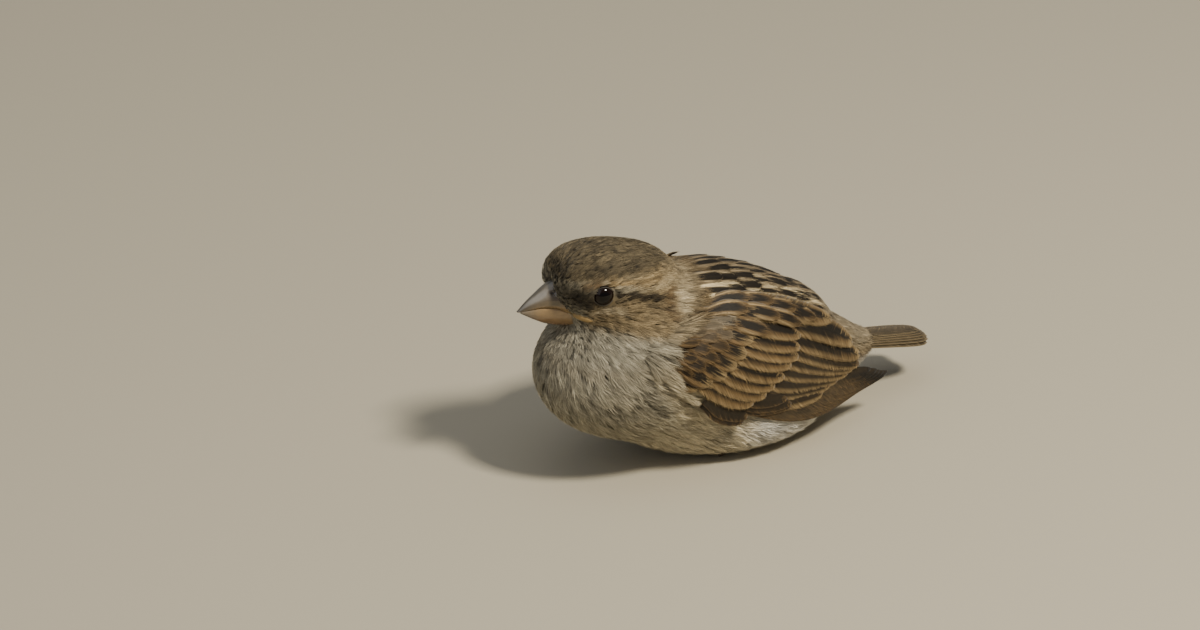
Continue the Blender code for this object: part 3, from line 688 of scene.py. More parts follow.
def vanes(name, middle, normals, half, shape, pattern, seed, roll=0.0, camber=18.0, barbs=60, mirror=False,
          barb=0.15, fray=0.07, thick=0.08, pick=None, soft=False, fuzz=0.04):
    """A row of feathers as one piece of blades and one of barbs. `pattern(u, w, pick)` gives the colour
    at places on a feather, pick being a number that differs from feather to feather, 0 to 1 by chance."""
    draw = np.random.default_rng(seed)
    n = len(middle)
    lengths = np.linalg.norm(np.diff(middle, axis=1), axis=-1).sum(1)
    roll = np.broadcast_to(np.asarray(roll, float), n)
    pick = draw.random(n) if pick is None else np.asarray(pick, float)
    columns = int(math.ceil(math.sqrt(n)))
    column, row = np.arange(n) % columns, np.arange(n) // columns

    def unrolled(u, w):
        """Each feather's places on the map, in a square of its own."""
        across = 0.08 + 0.84 * (np.clip(w, -1.1, 1.1) + 1.1) / 2.2
        along = 0.06 + 0.88 * np.clip(u, 0, 1.04) / 1.04
        return np.stack(((for_each(column, u) + across) / columns, (for_each(row, u) + along) / columns), -1)

    def sided(points, quads, triangles):
        """The feathers as made, on the left, or mirrored to the right with their faces turned about."""
        points = points.reshape(-1, 3)
        if mirror:
            points, quads, triangles = points * (-1, 1, 1), quads[:, ::-1], triangles[:, ::-1]
        points[:, 2] = np.maximum(points[:, 2], 0.1)
        return points, quads, triangles

    # Blades: a flat tube of rings, top from edge to edge and back along the underside.
    u = np.linspace(0, 1, VANE_ROWS) ** 0.85
    u = np.broadcast_to(u[None, :, None], (n, VANE_ROWS, VANE_EDGE + 1))
    w = np.broadcast_to(VANE_ACROSS, u.shape)
    top, normal = vane_points(middle, normals, half, shape, roll, camber, u, w)
    body = 0.5 * thick * (1 - 0.7 * w**2) + 0.05 * (np.abs(w) < 0.05) * (1 - 0.6 * u)
    under = top - normal * (0.5 * thick * (1 - 0.7 * w**2))[..., None]
    top = top + normal * body[..., None]
    back = slice(VANE_EDGE - 1, 0, -1)
    ring = np.concatenate((top, under[:, :, back]), 2)
    ring_u, ring_w = (np.concatenate((part, part[:, :, back]), 2) for part in (u, w))
    around = ring.shape[2]
    ragged = draw.normal(0, 0.02, ring_u.shape)
    colour = pattern(ring_u + ragged, ring_w + ragged, pick[:, None, None])
    # Painted shade: the blade is coloured darker than the barbs over it, a little on top and much more on its
    # underside.
    colour = colour * np.where(np.arange(around) > VANE_EDGE, 0.6, 0.9)[:, None]
    end_quads, end_triangles = vane_ends()
    base = (np.arange(n) * VANE_ROWS * around)[:, None, None]
    quads = (np.concatenate((grid_faces(VANE_ROWS, around), end_quads)) + base).reshape(-1, 4)
    triangles = (end_triangles + base).reshape(-1, 3)
    own = np.stack((ring_u * lengths[:, None, None], ring_w * half[:, None, None]), -1)
    blades = make_piece(name, *sided(ring, quads, triangles), uv=unrolled(ring_u, ring_w).reshape(-1, 2),
                        extra_uv=own.reshape(-1, 2), colour=colour.reshape(-1, 3))

    # Barbs: four stations each, slanting from beside the shaft to just past the edge.
    start = np.sort(draw.random((n, barbs)), axis=1) * 0.95 + 0.03
    hand = np.where(np.arange(barbs) % 2 == 0, 1.0, -1.0) * np.ones((n, 1))
    t = np.array((0.0, 0.4, 0.75, 1.0))
    past_edge = np.abs(draw.normal(0, fray, (n, barbs, 1)))
    if soft:
        # Loose barbs: a fan that runs the feather's length, its tips making the rounded end.
        across = draw.random((n, barbs, 1)) * 2 - 1
        last = (1 - 0.36 * across**2) * (1 + 0.4 * past_edge - 0.05)
        bu = 0.55 * start[..., None] * last + (last - 0.55 * start[..., None] * last) * t
        bw = across * (0.45 + 0.5 * bu) * (1 + 0.3 * past_edge * t) / vane_half(bu, shape)
        seen = np.broadcast_to(across, bw.shape)
    else:
        slant = np.minimum(2.3 * half / lengths, 0.6)[:, None] * np.clip(1.0 - start, 0, 1) ** 0.8
        bu = start[..., None] + slant[..., None] * t**1.15
        bw = hand[..., None] * (0.05 + 0.97 * t * (1 + past_edge * t))
        seen = bw
    line, up = vane_points(middle, normals, half, shape, roll, camber, bu, bw)
    line = line + up * (0.5 * thick + 0.03 + fuzz * np.abs(draw.normal(0, 1, (n, barbs, 1))) * t)[..., None]
    wide = unit(np.cross(up, np.gradient(line, axis=2)))
    wide = wide * (0.5 * barb * np.array((0.8, 1.0, 0.7, 0.0)))[:, None]
    corners, quads, triangles = barb_strips(line, wide)
    shade = np.clip(1 + draw.normal(0, 0.20, (n, barbs, 1, 1)), 0.4, 1.6)
    stray = draw.normal(0, 1, (2, n, barbs, 1)) * np.array((0.04, 0.10))[:, None, None, None]
    bu, seen = bu[:, :, POINT_STATION], seen[:, :, POINT_STATION]
    tint = pattern(np.clip(bu + stray[0], 0, 1), seen * (1 + stray[1]), pick[:, None, None]) * shade * 1.04
    uv = unrolled(bu, seen)
    uv[..., 0] += np.array((-0.0006, 0.0006, -0.0006, 0.0006, -0.0005, 0.0005, 0))
    fringe = make_piece(name + "_barbs", *sided(corners, quads, triangles), uv=uv.reshape(-1, 2),
                        colour=tint.reshape(-1, 3))
    return blades, fringe


def from_edge(u, w, long_share=0.16):
    """How far inside the feather's edge a place is, 0 at the edge to 1 well inside."""
    return np.minimum(1 - np.abs(w), (1 - u) / long_share)


vane_material = plume_material("vaned_plume", strength=0.22, grain=1800, roughness=0.62, sheen=0.08)

# ---- folded wings ----------------------------------------------------------------------------------
# Flight feathers stacked edge over edge, their roots hidden by rows of shorter coverts: primaries lowest,
# then secondaries and tertials, then greater, median and lesser coverts, each dark with a buff rim.

WING_UPPER = ((11, -10.5, 36), (9, 4, 37), (9.5, 18, 33), (9, 31, 25.5), (8.6, 40, 17.5), (10.8, 47, 12.6))
WING_LOWER = (
    (16.5, -19.5, 30), (19.5, -13, 21.5), (19.2, -1.5, 12.8),
    (18.4, 14, 9.4), (15.8, 30, 7.8), (13.2, 46.6, 8.6),
)


def path(points, s):
    """A smooth line through evenly spaced points, read at shares s (it runs on straight past its ends)."""
    points = np.array(points, float)
    padded = np.vstack((2 * points[0] - points[1], points, 2 * points[-1] - points[-2]))
    at = np.clip(s, 0, 1) * (len(points) - 1)
    k = np.minimum(at.astype(int), len(points) - 2)
    t = (at - k)[..., None]
    p0, p1, p2, p3 = padded[k], padded[k + 1], padded[k + 2], padded[k + 3]
    inside = 0.5 * (2 * p1 + (p2 - p0) * t + (2 * p0 - 5 * p1 + 4 * p2 - p3) * t**2
                    + (3 * p1 - p0 - 3 * p2 + p3) * t**3)
    over = (s - np.clip(s, 0, 1))[..., None] * (len(points) - 1)
    end = np.where(s[..., None] < 0.5, points[1] - points[0], points[-1] - points[-2])
    return inside + over * end


def wing_front(q):
    """Where along the wing its visible front edge lies, from the shoulder back along the lower edge."""
    return np.interp(q, (0.3, 0.5, 0.75, 0.9, 1.0), (0.10, 0.01, 0.04, 0.11, 0.23))


def wing_surface(s, q, level):
    """A place on the folded left wing: s from shoulder to tip, q from the upper edge to the lower one,
    lying over the body at the front and drawing clear of it behind, raised by level mm."""
    upper, lower = path(WING_UPPER, s), path(WING_LOWER, s)
    point = upper + (lower - upper) * q[..., None]
    centre = np.stack((0 * s, point[..., 1], 20.0 - 0.22 * np.clip(point[..., 1], -20, 60)), -1)
    away = point - centre
    distance = np.linalg.norm(away, axis=-1)
    way = away / distance[..., None]
    bowed = distance + 2.0 * np.sin(math.pi * np.clip(q, 0, 1)) * (1 - 0.75 * s)
    body = reach(centre, way, 0.6)
    clear = 0.8 * np.logaddexp(0, (bowed - body) / 0.8)
    tucked = ease(0.16, -0.02, s - wing_front(q))  # the leading edge lies in under the breast feathers
    out = body + clear * (0.12 + 0.88 * ease(0.45, 0.85, s)) + level * (1 - tucked) - 1.3 * tucked
    return centre + way * out[..., None]


def wing_rows(roots, tips, bow, levels):
    """Middle lines and normals of wing feathers from their root, tip and sideways bow in wing places."""
    roots, tips, bow = np.array(roots, float), np.array(tips, float), np.broadcast_to(bow, len(roots))
    t = np.linspace(0, 1, VANE_STATIONS)[:, None]
    sq = roots[:, None] * (1 - t) + tips[:, None] * t
    sq[..., 1] += bow[:, None] * 4 * (t * (1 - t))[:, 0]
    level = np.asarray(levels, float)
    level = level[:, :1] * (1 - t[:, 0]) + level[:, 1:] * t[:, 0]
    s, q = sq[..., 0], sq[..., 1]
    middle = wing_surface(s, q, level)
    along = wing_surface(s + 0.01, q, level) - wing_surface(s - 0.01, q, level)
    down = wing_surface(s, q + 0.02, level) - wing_surface(s, q - 0.02, level)
    return middle, unit(np.cross(along, -down))


DARK_CENTRE, BLACK_BROWN = rgb(46, 38, 25), rgb(30, 25, 16)
BUFF_EDGE, RUFOUS_EDGE = rgb(142, 121, 85), rgb(104, 84, 56)
FLIGHT, FLIGHT_TIP = rgb(60, 52, 39), rgb(34, 30, 23)
LESSER, LESSER_EDGE, LESSER_GREY = rgb(38, 31, 20), rgb(96, 77, 50), rgb(126, 114, 93)


def shaft(colour, w, share=0.3):
    return colour * (1 - share * np.exp(-((w / 0.05) ** 2)))[..., None]


def streak(u, w, width, start, end, lean=0.0):
    """A dark mark along a feather: as wide as `width` in its middle, tapering from start to end."""
    along = np.clip((u - start) / (end - start), 0, 1)
    profile = np.clip(4 * along * (1 - along), 0, 1) ** 0.45
    return ease(1.25, 0.75, np.abs(w - lean) / np.maximum(width * profile, 0.02))


def primary_pattern(u, w, pick):
    made = lay(FLIGHT + 0 * w[..., None], FLIGHT_TIP, ease(0.70, 0.9, u))
    made = lay(made, DARK_CENTRE, ease(0.35, 0.0, w) * 0.75)
    made = lay(made, RUFOUS_EDGE, ease(0.55, 1.0, w) * ease(0.95, 0.78, u) * 0.8)
    return shaft(made, w)


def secondary_pattern(u, w, pick):
    made = lay(RUFOUS_EDGE * 0.8 + 0 * w[..., None], BUFF_EDGE, ease(0.6, 0.9, w))
    made = lay(made, DARK_CENTRE * 0.9, ease(0.70, 0.44, w) * ease(0.99, 0.95, u))
    return shaft(made, w)


def tertial_pattern(u, w, pick):
    rim = ease(0.6, 0.95, np.abs(w)) * 0.8 + ease(0.9, 1.0, u)
    made = lay(RUFOUS_EDGE + 0 * w[..., None], BUFF_EDGE, rim)
    made = lay(made, BLACK_BROWN, streak(u, w, 0.74, 0.1, 0.96, -0.12))
    return shaft(made, w)


def greater_pattern(u, w, pick):
    rim = ease(0.5, 0.9, w) * 0.7 + ease(0.92, 1.0, u) * 0.8
    made = lay(RUFOUS_EDGE * 0.95 + 0 * w[..., None], BUFF_EDGE, rim)
    made = lay(made, BLACK_BROWN, streak(u, w, 0.62 + 0.2 * pick, 0.0, 0.95, -0.30))
    return shaft(made, w)


def median_pattern(u, w, pick):
    made = lay(RUFOUS_EDGE + 0 * w[..., None], BUFF_EDGE, ease(0.74, 0.95, u))
    return lay(made, BLACK_BROWN, streak(u, w, 0.64 + 0.2 * pick, -0.2, 0.90))


def lesser_pattern(u, w, pick):
    """The pick is how far down the wing the feather sits: greyer above, darker-centred below."""
    made = lay(LESSER_EDGE + 0 * w[..., None], LESSER_GREY, ease(0.50, 0.30, pick) * np.ones(w.shape))
    return lay(made, LESSER, streak(u, w, 0.68, -0.1, 0.96) * (0.55 + 0.4 * ease(0.35, 0.6, pick)))


def rim_pattern(u, w, pick):
    made = lay(DARK_CENTRE * 0.9 + 0 * w[..., None], RUFOUS_EDGE, ease(0.80, 0.92, w) + ease(0.95, 0.99, u))
    return shaft(made, w)


WING_NODES = {"primaries": "primaries", "primary_coverts": "primaries", "secondaries": "secondaries",
              "tertials": "secondaries"}


def wing_group(label, pattern, slot, seed, roots, tips, levels, half, shape, barbs, roll, bow=0.0, **finish):
    """One row of feathers on both wings: the right wing is mirrored and each feather varied. Roots and tips
    are (s, q) places on the wing, levels how many mm above it each end lies, half the half-width in mm."""
    for mirror, side in ((False, "left"), (True, "right")):
        draw = np.random.default_rng(seed + 500 * mirror)
        n = len(roots)
        jolt = draw.normal(0, 0.004, (n, 2))
        middle, normals = wing_rows(np.array(roots) + jolt * 0.5, np.array(tips) + jolt, bow, levels)
        varied = np.broadcast_to(half, n) * (1 + draw.normal(0, 0.03, n))
        pair = vanes(f"{label}_{side}", middle, normals, varied, shape, pattern, seed + 7 * mirror, roll=roll,
                     barbs=barbs, mirror=mirror, **finish)
        for piece in pair:
            piece.data.materials.append(vane_material)
            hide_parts(f"wing_{side}_{WING_NODES.get(label, 'coverts')}")


def pairs(first, second):
    """Two rows of values side by side, as (s, q) places or (root, tip) levels."""
    return np.stack(np.broadcast_arrays(first, second), -1)


k = np.linspace(0, 1, 9)
wing_group(
    "primaries", primary_pattern, "wing_dark", seed=110, barbs=240, roll=0.06, bow=0.05,
    roots=pairs(0.40, 0.66 + 0.18 * k),
    tips=pairs(np.interp(k, (0, 0.25, 0.6, 1), (0.90, 0.955, 0.985, 0.955)), 0.44 + 0.42 * k),
    levels=pairs(0.8 - 0.5 * k, 0.8 - 0.6 * k),
    half=2.0 - 0.3 * k,
    shape=(0.5, 0.45, 2.2),
)
k = np.linspace(0, 1, 6)
wing_group(
    "secondaries", secondary_pattern, "wing_buff", seed=120, barbs=240, roll=0.07, bow=0.03,
    roots=pairs(0.32 + 0.04 * k, 0.36 + 0.36 * k),
    tips=pairs(0.835 - 0.13 * k, 0.34 + 0.36 * k),
    levels=pairs(1.1 - 0.3 * k, 1.3 - 0.4 * k),
    half=2.3,
    shape=(0.5, 0.5, 3.0),
)
wing_group(
    "tertials", tertial_pattern, "wing_buff", seed=130, barbs=300, roll=0.08, bow=0.03, fray=0.1,
    roots=((0.30, 0.32), (0.26, 0.22), (0.20, 0.12)),
    tips=((0.825, 0.21), (0.775, 0.12), (0.63, 0.07)),
    levels=((1.0, 1.45), (0.6, 1.6), (-0.4, 1.75)),
    half=(2.9, 3.2, 3.2),
    shape=(0.5, 0.55, 2.6),
)
k = np.linspace(0, 1, 9)
tip_s = np.interp(k, (0, 0.15, 0.4, 0.55, 0.75, 1), (0.47, 0.52, 0.52, 0.49, 0.465, 0.42))
tip_q = np.interp(k, (0, 0.2, 0.6, 1), (0.20, 0.34, 0.54, 0.76))
wing_group(
    "greater_coverts", greater_pattern, "wing_buff", seed=140, barbs=220, roll=0.10, fray=0.12,
    roots=pairs(tip_s - 0.27, tip_q + 0.03),
    tips=pairs(tip_s, tip_q),
    levels=pairs(1.4 - 0.1 * k, 1.95 - 0.3 * k),
    half=2.15,
    shape=(0.45, 0.5, 2.4),
)
wing_group(
    "primary_coverts", rim_pattern, "wing_dark", seed=150, barbs=160, roll=0.04,
    roots=((0.36, 0.76), (0.37, 0.80), (0.37, 0.84), (0.26, 0.88), (0.27, 0.92)),
    tips=((0.545, 0.72), (0.575, 0.77), (0.585, 0.81), (0.44, 0.88), (0.445, 0.94)),
    levels=((1.1, 1.3), (0.9, 1.1), (0.7, 0.9), (1.3, 1.3), (1.1, 1.2)),
    half=(1.7, 1.6, 1.5, 1.9, 1.7),
    shape=(0.5, 0.5, 2.2),
)
tip_s = np.interp(k, (0, 0.25, 0.6, 1), (0.355, 0.335, 0.285, 0.17))
tip_q = 0.24 + 0.68 * k
wing_group(
    "median_coverts", median_pattern, "wing_brown", seed=160, barbs=150, roll=0.05, fray=0.2, soft=True,
    roots=pairs(tip_s - 0.15, tip_q - 0.02),
    tips=pairs(tip_s, tip_q),
    levels=pairs(1.7 - 0.1 * k, 2.15 - 0.2 * k),
    half=2.5,
    shape=(0.5, 0.5, 2.0),
)
row_roots, row_tips, row_levels = [], [], []
for row in range(7):
    for q in np.linspace(0.30, 0.96, 8) + (0.045 if row % 2 else 0.0):
        s = np.interp(q, (0.2, 0.45, 0.6, 0.95), (0.27, 0.265, 0.22, 0.10)) - 0.05 * row
        if s > wing_front(q) + 0.03 and q < 0.98:
            row_roots.append((s - 0.10, q - 0.01))
            row_tips.append((s, q))
            row_levels.append((1.6 - 0.03 * row, 2.15 - 0.04 * row))
wing_group(
    "lesser_coverts", lesser_pattern, "wing_brown", seed=170, barbs=110, roll=0.03, fray=0.3, soft=True,
    fuzz=0.08, pick=np.array(row_tips)[:, 1],
    roots=row_roots,
    tips=row_tips,
    levels=row_levels,
    half=1.85,
    shape=(0.6, 0.5, 2.0),
)

# ---- mantle, scapulars and rump --------------------------------------------------------------------
# Rows of soft-edged feathers across the back and over the shoulders: dark streaks with pale buff edges,
# a paler line of them down each side of the mantle, plain grey-brown on the rump.


def body_vanes(name, roots, pattern, seed, length, half, top, barbs, pick=None):
    """Feathers laid over the body's form from their roots, each row covering the next, from 0.9 mm deep
    at the root to `top` mm proud at the tip."""
    n = len(roots)
    middle, normals, _ = follow(roots, np.full(n, length), np.array([0.9]), top, VANE_STATIONS)
    pair = vanes(name, middle, normals, np.full(n, half), (0.5, 0.5, 2.0), pattern, seed, camber=12.0,
                 barbs=barbs, fray=0.28, pick=pick, soft=True, fuzz=0.06)
    for piece in pair:
        piece.data.materials.append(vane_material)
        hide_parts("trunk")


def mantle_pattern(u, w, pick):
    """The pick is how far out from the middle of the back the feather sits: the palest line is at 0.72."""
    pale = np.exp(-(((pick - 0.72) / 0.16) ** 2)) * np.ones(w.shape)
    edge = lay(rgb(132, 116, 89) + 0 * w[..., None], rgb(204, 184, 142), pale * ease(0.2, 0.6, np.abs(w)))
    width, end = 0.42 + 0.25 * np.sin(90 * pick) ** 2, 1.0 + 0.4 * np.sin(57 * pick) ** 2
    return lay(edge, BLACK_BROWN * 1.2, streak(u, w, width, -0.3, end))


def scapular_pattern(u, w, pick):
    made = lay(rgb(100, 81, 54) + 0 * w[..., None], rgb(144, 123, 88), ease(0.55, 0.9, np.abs(w)) * 0.8)
    return lay(made, BLACK_BROWN, streak(u, w, 0.62, 0.0, 0.95, -0.05))


def rump_pattern(u, w, pick):
    made = lay(rgb(138, 125, 101) + 0 * w[..., None], rgb(110, 98, 76), ease(0.2, 0.7, from_edge(u, w, 0.4)))
    return made * (0.9 + 0.25 * pick)[..., None]


def back_places(ys, xs, seed, offset, jolt):
    """Places on the body's upper surface at the given y rows and x columns, every second row moved over
    by the offset, a share of the column gap."""
    draw = np.random.default_rng(seed)
    y, x = np.meshgrid(ys, xs, indexing="ij")
    x = x + (np.arange(len(ys)) % 2 - 0.5)[:, None] * (xs[1] - xs[0]) * offset
    made = np.stack((x, y, 20 + 0 * x), -1).reshape(-1, 3)
    made[:, :2] += draw.normal(0, jolt, (len(made), 2))
    way = np.zeros_like(made)
    way[:, 2] = 1.0
    return made + way * reach(made, way)[:, None]


mantle = back_places(np.arange(25, -9, -4.7), np.linspace(-12.5, 12.5, 9), seed=200, offset=0.25, jolt=0.6)
mantle = mantle[np.linalg.norm(mantle - HEAD_AT, axis=-1) > 15.0]
mantle = mantle[np.abs(mantle[:, 0]) < np.interp(mantle[:, 1], (-8, 2), (9, 13))]
body_vanes("mantle", mantle, mantle_pattern, seed=201, length=9.6, half=2.3, top=0.2, barbs=170,
           pick=np.abs(mantle[:, 0]) / 12)
rump = back_places(np.arange(43, 25, -2.8), np.linspace(-7.5, 7.5, 8), seed=210, offset=0.5, jolt=0.3)
body_vanes("rump", rump, rump_pattern, seed=211, length=7.0, half=1.9, top=0.1, barbs=110)

SCAPULAR_ROWS = (
    (0.33, (0.17, 0.27, 0.37)),
    (0.225, (0.21, 0.31, 0.41, 0.49)),
    (0.12, (0.30, 0.39, 0.48, 0.56)),
)
scapular_tips = np.array([(s, q) for q, along in SCAPULAR_ROWS for s in along])
scapular_roots = scapular_tips - (0.15, 0.02)
# The foremost scapulars lie lower, their roots sunk among the shoulder's soft feathers.
level = 2.2 - 7 * np.clip(0.22 - scapular_tips[:, 1], 0, 1) - 9 * np.clip(0.30 - scapular_tips[:, 0], 0, 1)
sunk = 8 * np.clip(0.2 - scapular_roots[:, 0], 0, 1) + 18 * np.clip(0.2 - scapular_tips[:, 1], 0, 1)
wing_group(
    "scapulars", scapular_pattern, "wing_brown", seed=220, barbs=190, roll=0.10, fray=0.25, soft=True,
    fuzz=0.06, camber=10.0,
    roots=scapular_roots,
    tips=scapular_tips,
    levels=pairs(level - 0.5 - sunk, level + 0.35),
    half=2.1,
    shape=(0.5, 0.5, 2.0),
)

# ---- tail ------------------------------------------------------------------------------------------
# Twelve stiff quill feathers closed into a narrow fan, the middle pair on top, brown with paler rims.
# Their roots are set in the rump and lie hidden under its last feathers.

TAIL_ROOT, TAIL_TIP = np.array((0, 33.0, 15.2)), np.array((0, 63.7, 9.7))
QUILLS = 12
QUILL_HALF_WIDTH = 2.15


def tail_pattern(u, w, pick):
    made = lay(rgb(80, 70, 53) + 0 * w[..., None], rgb(56, 49, 38), ease(0.85, 1.0, u) * 0.7)
    made = lay(made, rgb(140, 122, 90), ease(0.25, 0.05, from_edge(u, w, 0.05)))
    return shaft(made, w)


across = np.linspace(-1, 1, QUILLS)
across = across[np.argsort(-np.abs(across).round(6), kind="stable")]
depth = np.abs(across)
root = TAIL_ROOT + np.stack((3.0 * across, 0 * across, 0.1 - 0.6 * depth), -1)
fan = np.stack((4.4 * across, 0.2 + 0.9 * depth - 1.8 * depth**4, 0.6 - 0.8 * depth**2 - 0.4 * depth), -1)
t = np.linspace(0, 1, VANE_STATIONS)[:, None]
middle = root[:, None] + (TAIL_TIP + fan - root)[:, None] * t + np.array((0, 0, 0.5)) * (4 * t * (1 - t))
normal = unit(np.stack((0.18 * across, 0.22 + 0 * across, 1.0 + 0 * across), -1))
tail_pair = vanes("tail_quills", middle, np.repeat(normal[:, None], VANE_STATIONS, 1),
                  np.full(QUILLS, QUILL_HALF_WIDTH), (0.6, 0.7, 3.2), tail_pattern, seed=230,
                  camber=30.0, barbs=170, fray=0.02)
for piece in tail_pair:
    piece.data.materials.append(vane_material)
    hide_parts("tail")

# ---- bill ------------------------------------------------------------------------------------------
# Two horny sheaths over bone: a grey-brown upper one with a rounded ridge and a nostril at its base, a
# paler pinkish lower one, and the soft yellowish flange of a young bird's gape at the corner.

CULMEN = (
    (7.4, 5.2), (10, 4.9), (12.5, 4.4), (14.8, 3.5), (16, 2.75),
    (17.4, 1.7), (18.6, 0.85), (20, -0.3), (21.6, -1.9),
)
TOMIUM = (
    (7.4, -3.6), (8.5, -3.1), (9.8, -2.6), (11.3, -2.05),
    (13.8, -1.1), (16.3, -0.95), (18.5, -1.35), (21.3, -2.0),
)
GONYS = (
    (7.4, -7.6), (8.5, -7.4), (10.5, -6.9), (13, -6.3),
    (15.5, -5.5), (17.8, -4.3), (19.6, -3.2), (20.8, -2.45),
)
BILL_STATIONS, ROOF_POINTS, FLOOR_POINTS = 60, 33, 11  # stations along it, and points round each half
BILL_HALF_WIDTH = ((7.4, 4.8), (8.5, 4.7), (12, 4), (15.5, 2.75), (19, 1.35), (21.6, 0.3))
# The bill's grey horn colour is set lighter than the horn itself, as a painted highlight on the upper
# mandible.
HORN_AND_HIGHLIGHT, HORN_DARK, HORN_EDGE = rgb(118, 112, 102), rgb(64, 59, 50), rgb(150, 125, 90)
HORN_PALE, HORN_PINK, GAPE = rgb(142, 117, 83), rgb(124, 96, 68), rgb(150, 124, 80)


def curve(points, at):
    """A smooth line through (position, value) pairs, read at many positions: a monotone cubic."""
    x, y = np.array(points, float).T
    step = np.diff(y) / np.diff(x)
    slope = np.concatenate(([step[0]], (step[1:] + step[:-1]) / 2 * (step[1:] * step[:-1] > 0), [step[-1]]))
    k = np.clip(np.searchsorted(x, at, side="right") - 1, 0, len(x) - 2)
    wide = x[k + 1] - x[k]
    t = np.clip((at - x[k]) / wide, 0, 1)
    rise = (1 - t) ** 2 * ((1 + 2 * t) * y[k] + t * wide * slope[k])
    return rise + t**2 * ((3 - 2 * t) * y[k + 1] - (1 - t) * wide * slope[k + 1])


def tube_piece(name, rings, colour):
    """A closed tube through rings of points (stations, around, 3), its ends drawn to their middles."""
    stations, around = rings.shape[:2]
    points = np.concatenate((rings.reshape(-1, 3), rings[:1].mean(1), rings[-1:].mean(1)))
    colours = np.concatenate((colour.reshape(-1, 3), colour[:1].mean(1), colour[-1:].mean(1)))
    along = np.stack((points @ HEAD_AXES[0], points @ HEAD_AXES[2]), -1) / 60
    return make_piece(name, points, grid_faces(stations, around), end_fans(stations, around),
                      extra_uv=along, colour=colours)


def horn_group():
    """Shared effect: fine lengthwise grain and faint cloudy growth bands in horn, as a tint and a height."""
    group = bpy.data.node_groups.new("horn_grain", "ShaderNodeTree")
    group.interface.new_socket("Colour", in_out="OUTPUT", socket_type="NodeSocketColor")
    group.interface.new_socket("Height", in_out="OUTPUT", socket_type="NodeSocketFloat")
    out = group.nodes.new("NodeGroupOutput").inputs
    plume = add_node(group, "Attribute", attribute_name="plume").outputs["Color"]
    place = add_node(group, "TexCoord").outputs["Object"]
    turned = {"Vector": place, "Rotation": (0, 0, -HEAD_TURN), "Scale": (1.0, 0.22, 1.0)}
    lengthwise = add_node(group, "Mapping", turned).outputs["Vector"]
    grain = add_node(group, "TexNoise", {"Vector": lengthwise, "Scale": 1500, "Detail": 4}).outputs["Fac"]
    cloud = add_node(group, "TexNoise", {"Vector": place, "Scale": 330}).outputs["Fac"]
    both = add_node(group, "Math", {0: grain, 1: cloud}, operation="ADD").outputs[0]
    scaled = add_node(group, "Math", {0: both, 1: 0.5, 2: 0.5}, operation="MULTIPLY_ADD").outputs[0]
    tint = add_node(group, "VectorMath", {0: plume, "Scale": scaled}, operation="SCALE").outputs[0]
    group.links.new(tint, out["Colour"])
    group.links.new(grain, out["Height"])
    return group


HORN_GRAIN = horn_group()


def horn_material(name, roughness, relief, coat_weight):
    """Horn: its own colour with grain, a low relief and a waxy surface."""
    made, tree, shader = new_material(name, roughness, 0.4)
    grain = add_node(tree, "Group", node_tree=HORN_GRAIN)
    tree.links.new(grain.outputs["Colour"], shader.inputs["Base Color"])
    add_relief(tree, shader, grain.outputs["Height"], relief, 0.05)
    shader.inputs["Coat Weight"].default_value = coat_weight
    shader.inputs["Coat Roughness"].default_value = 0.14
    return made


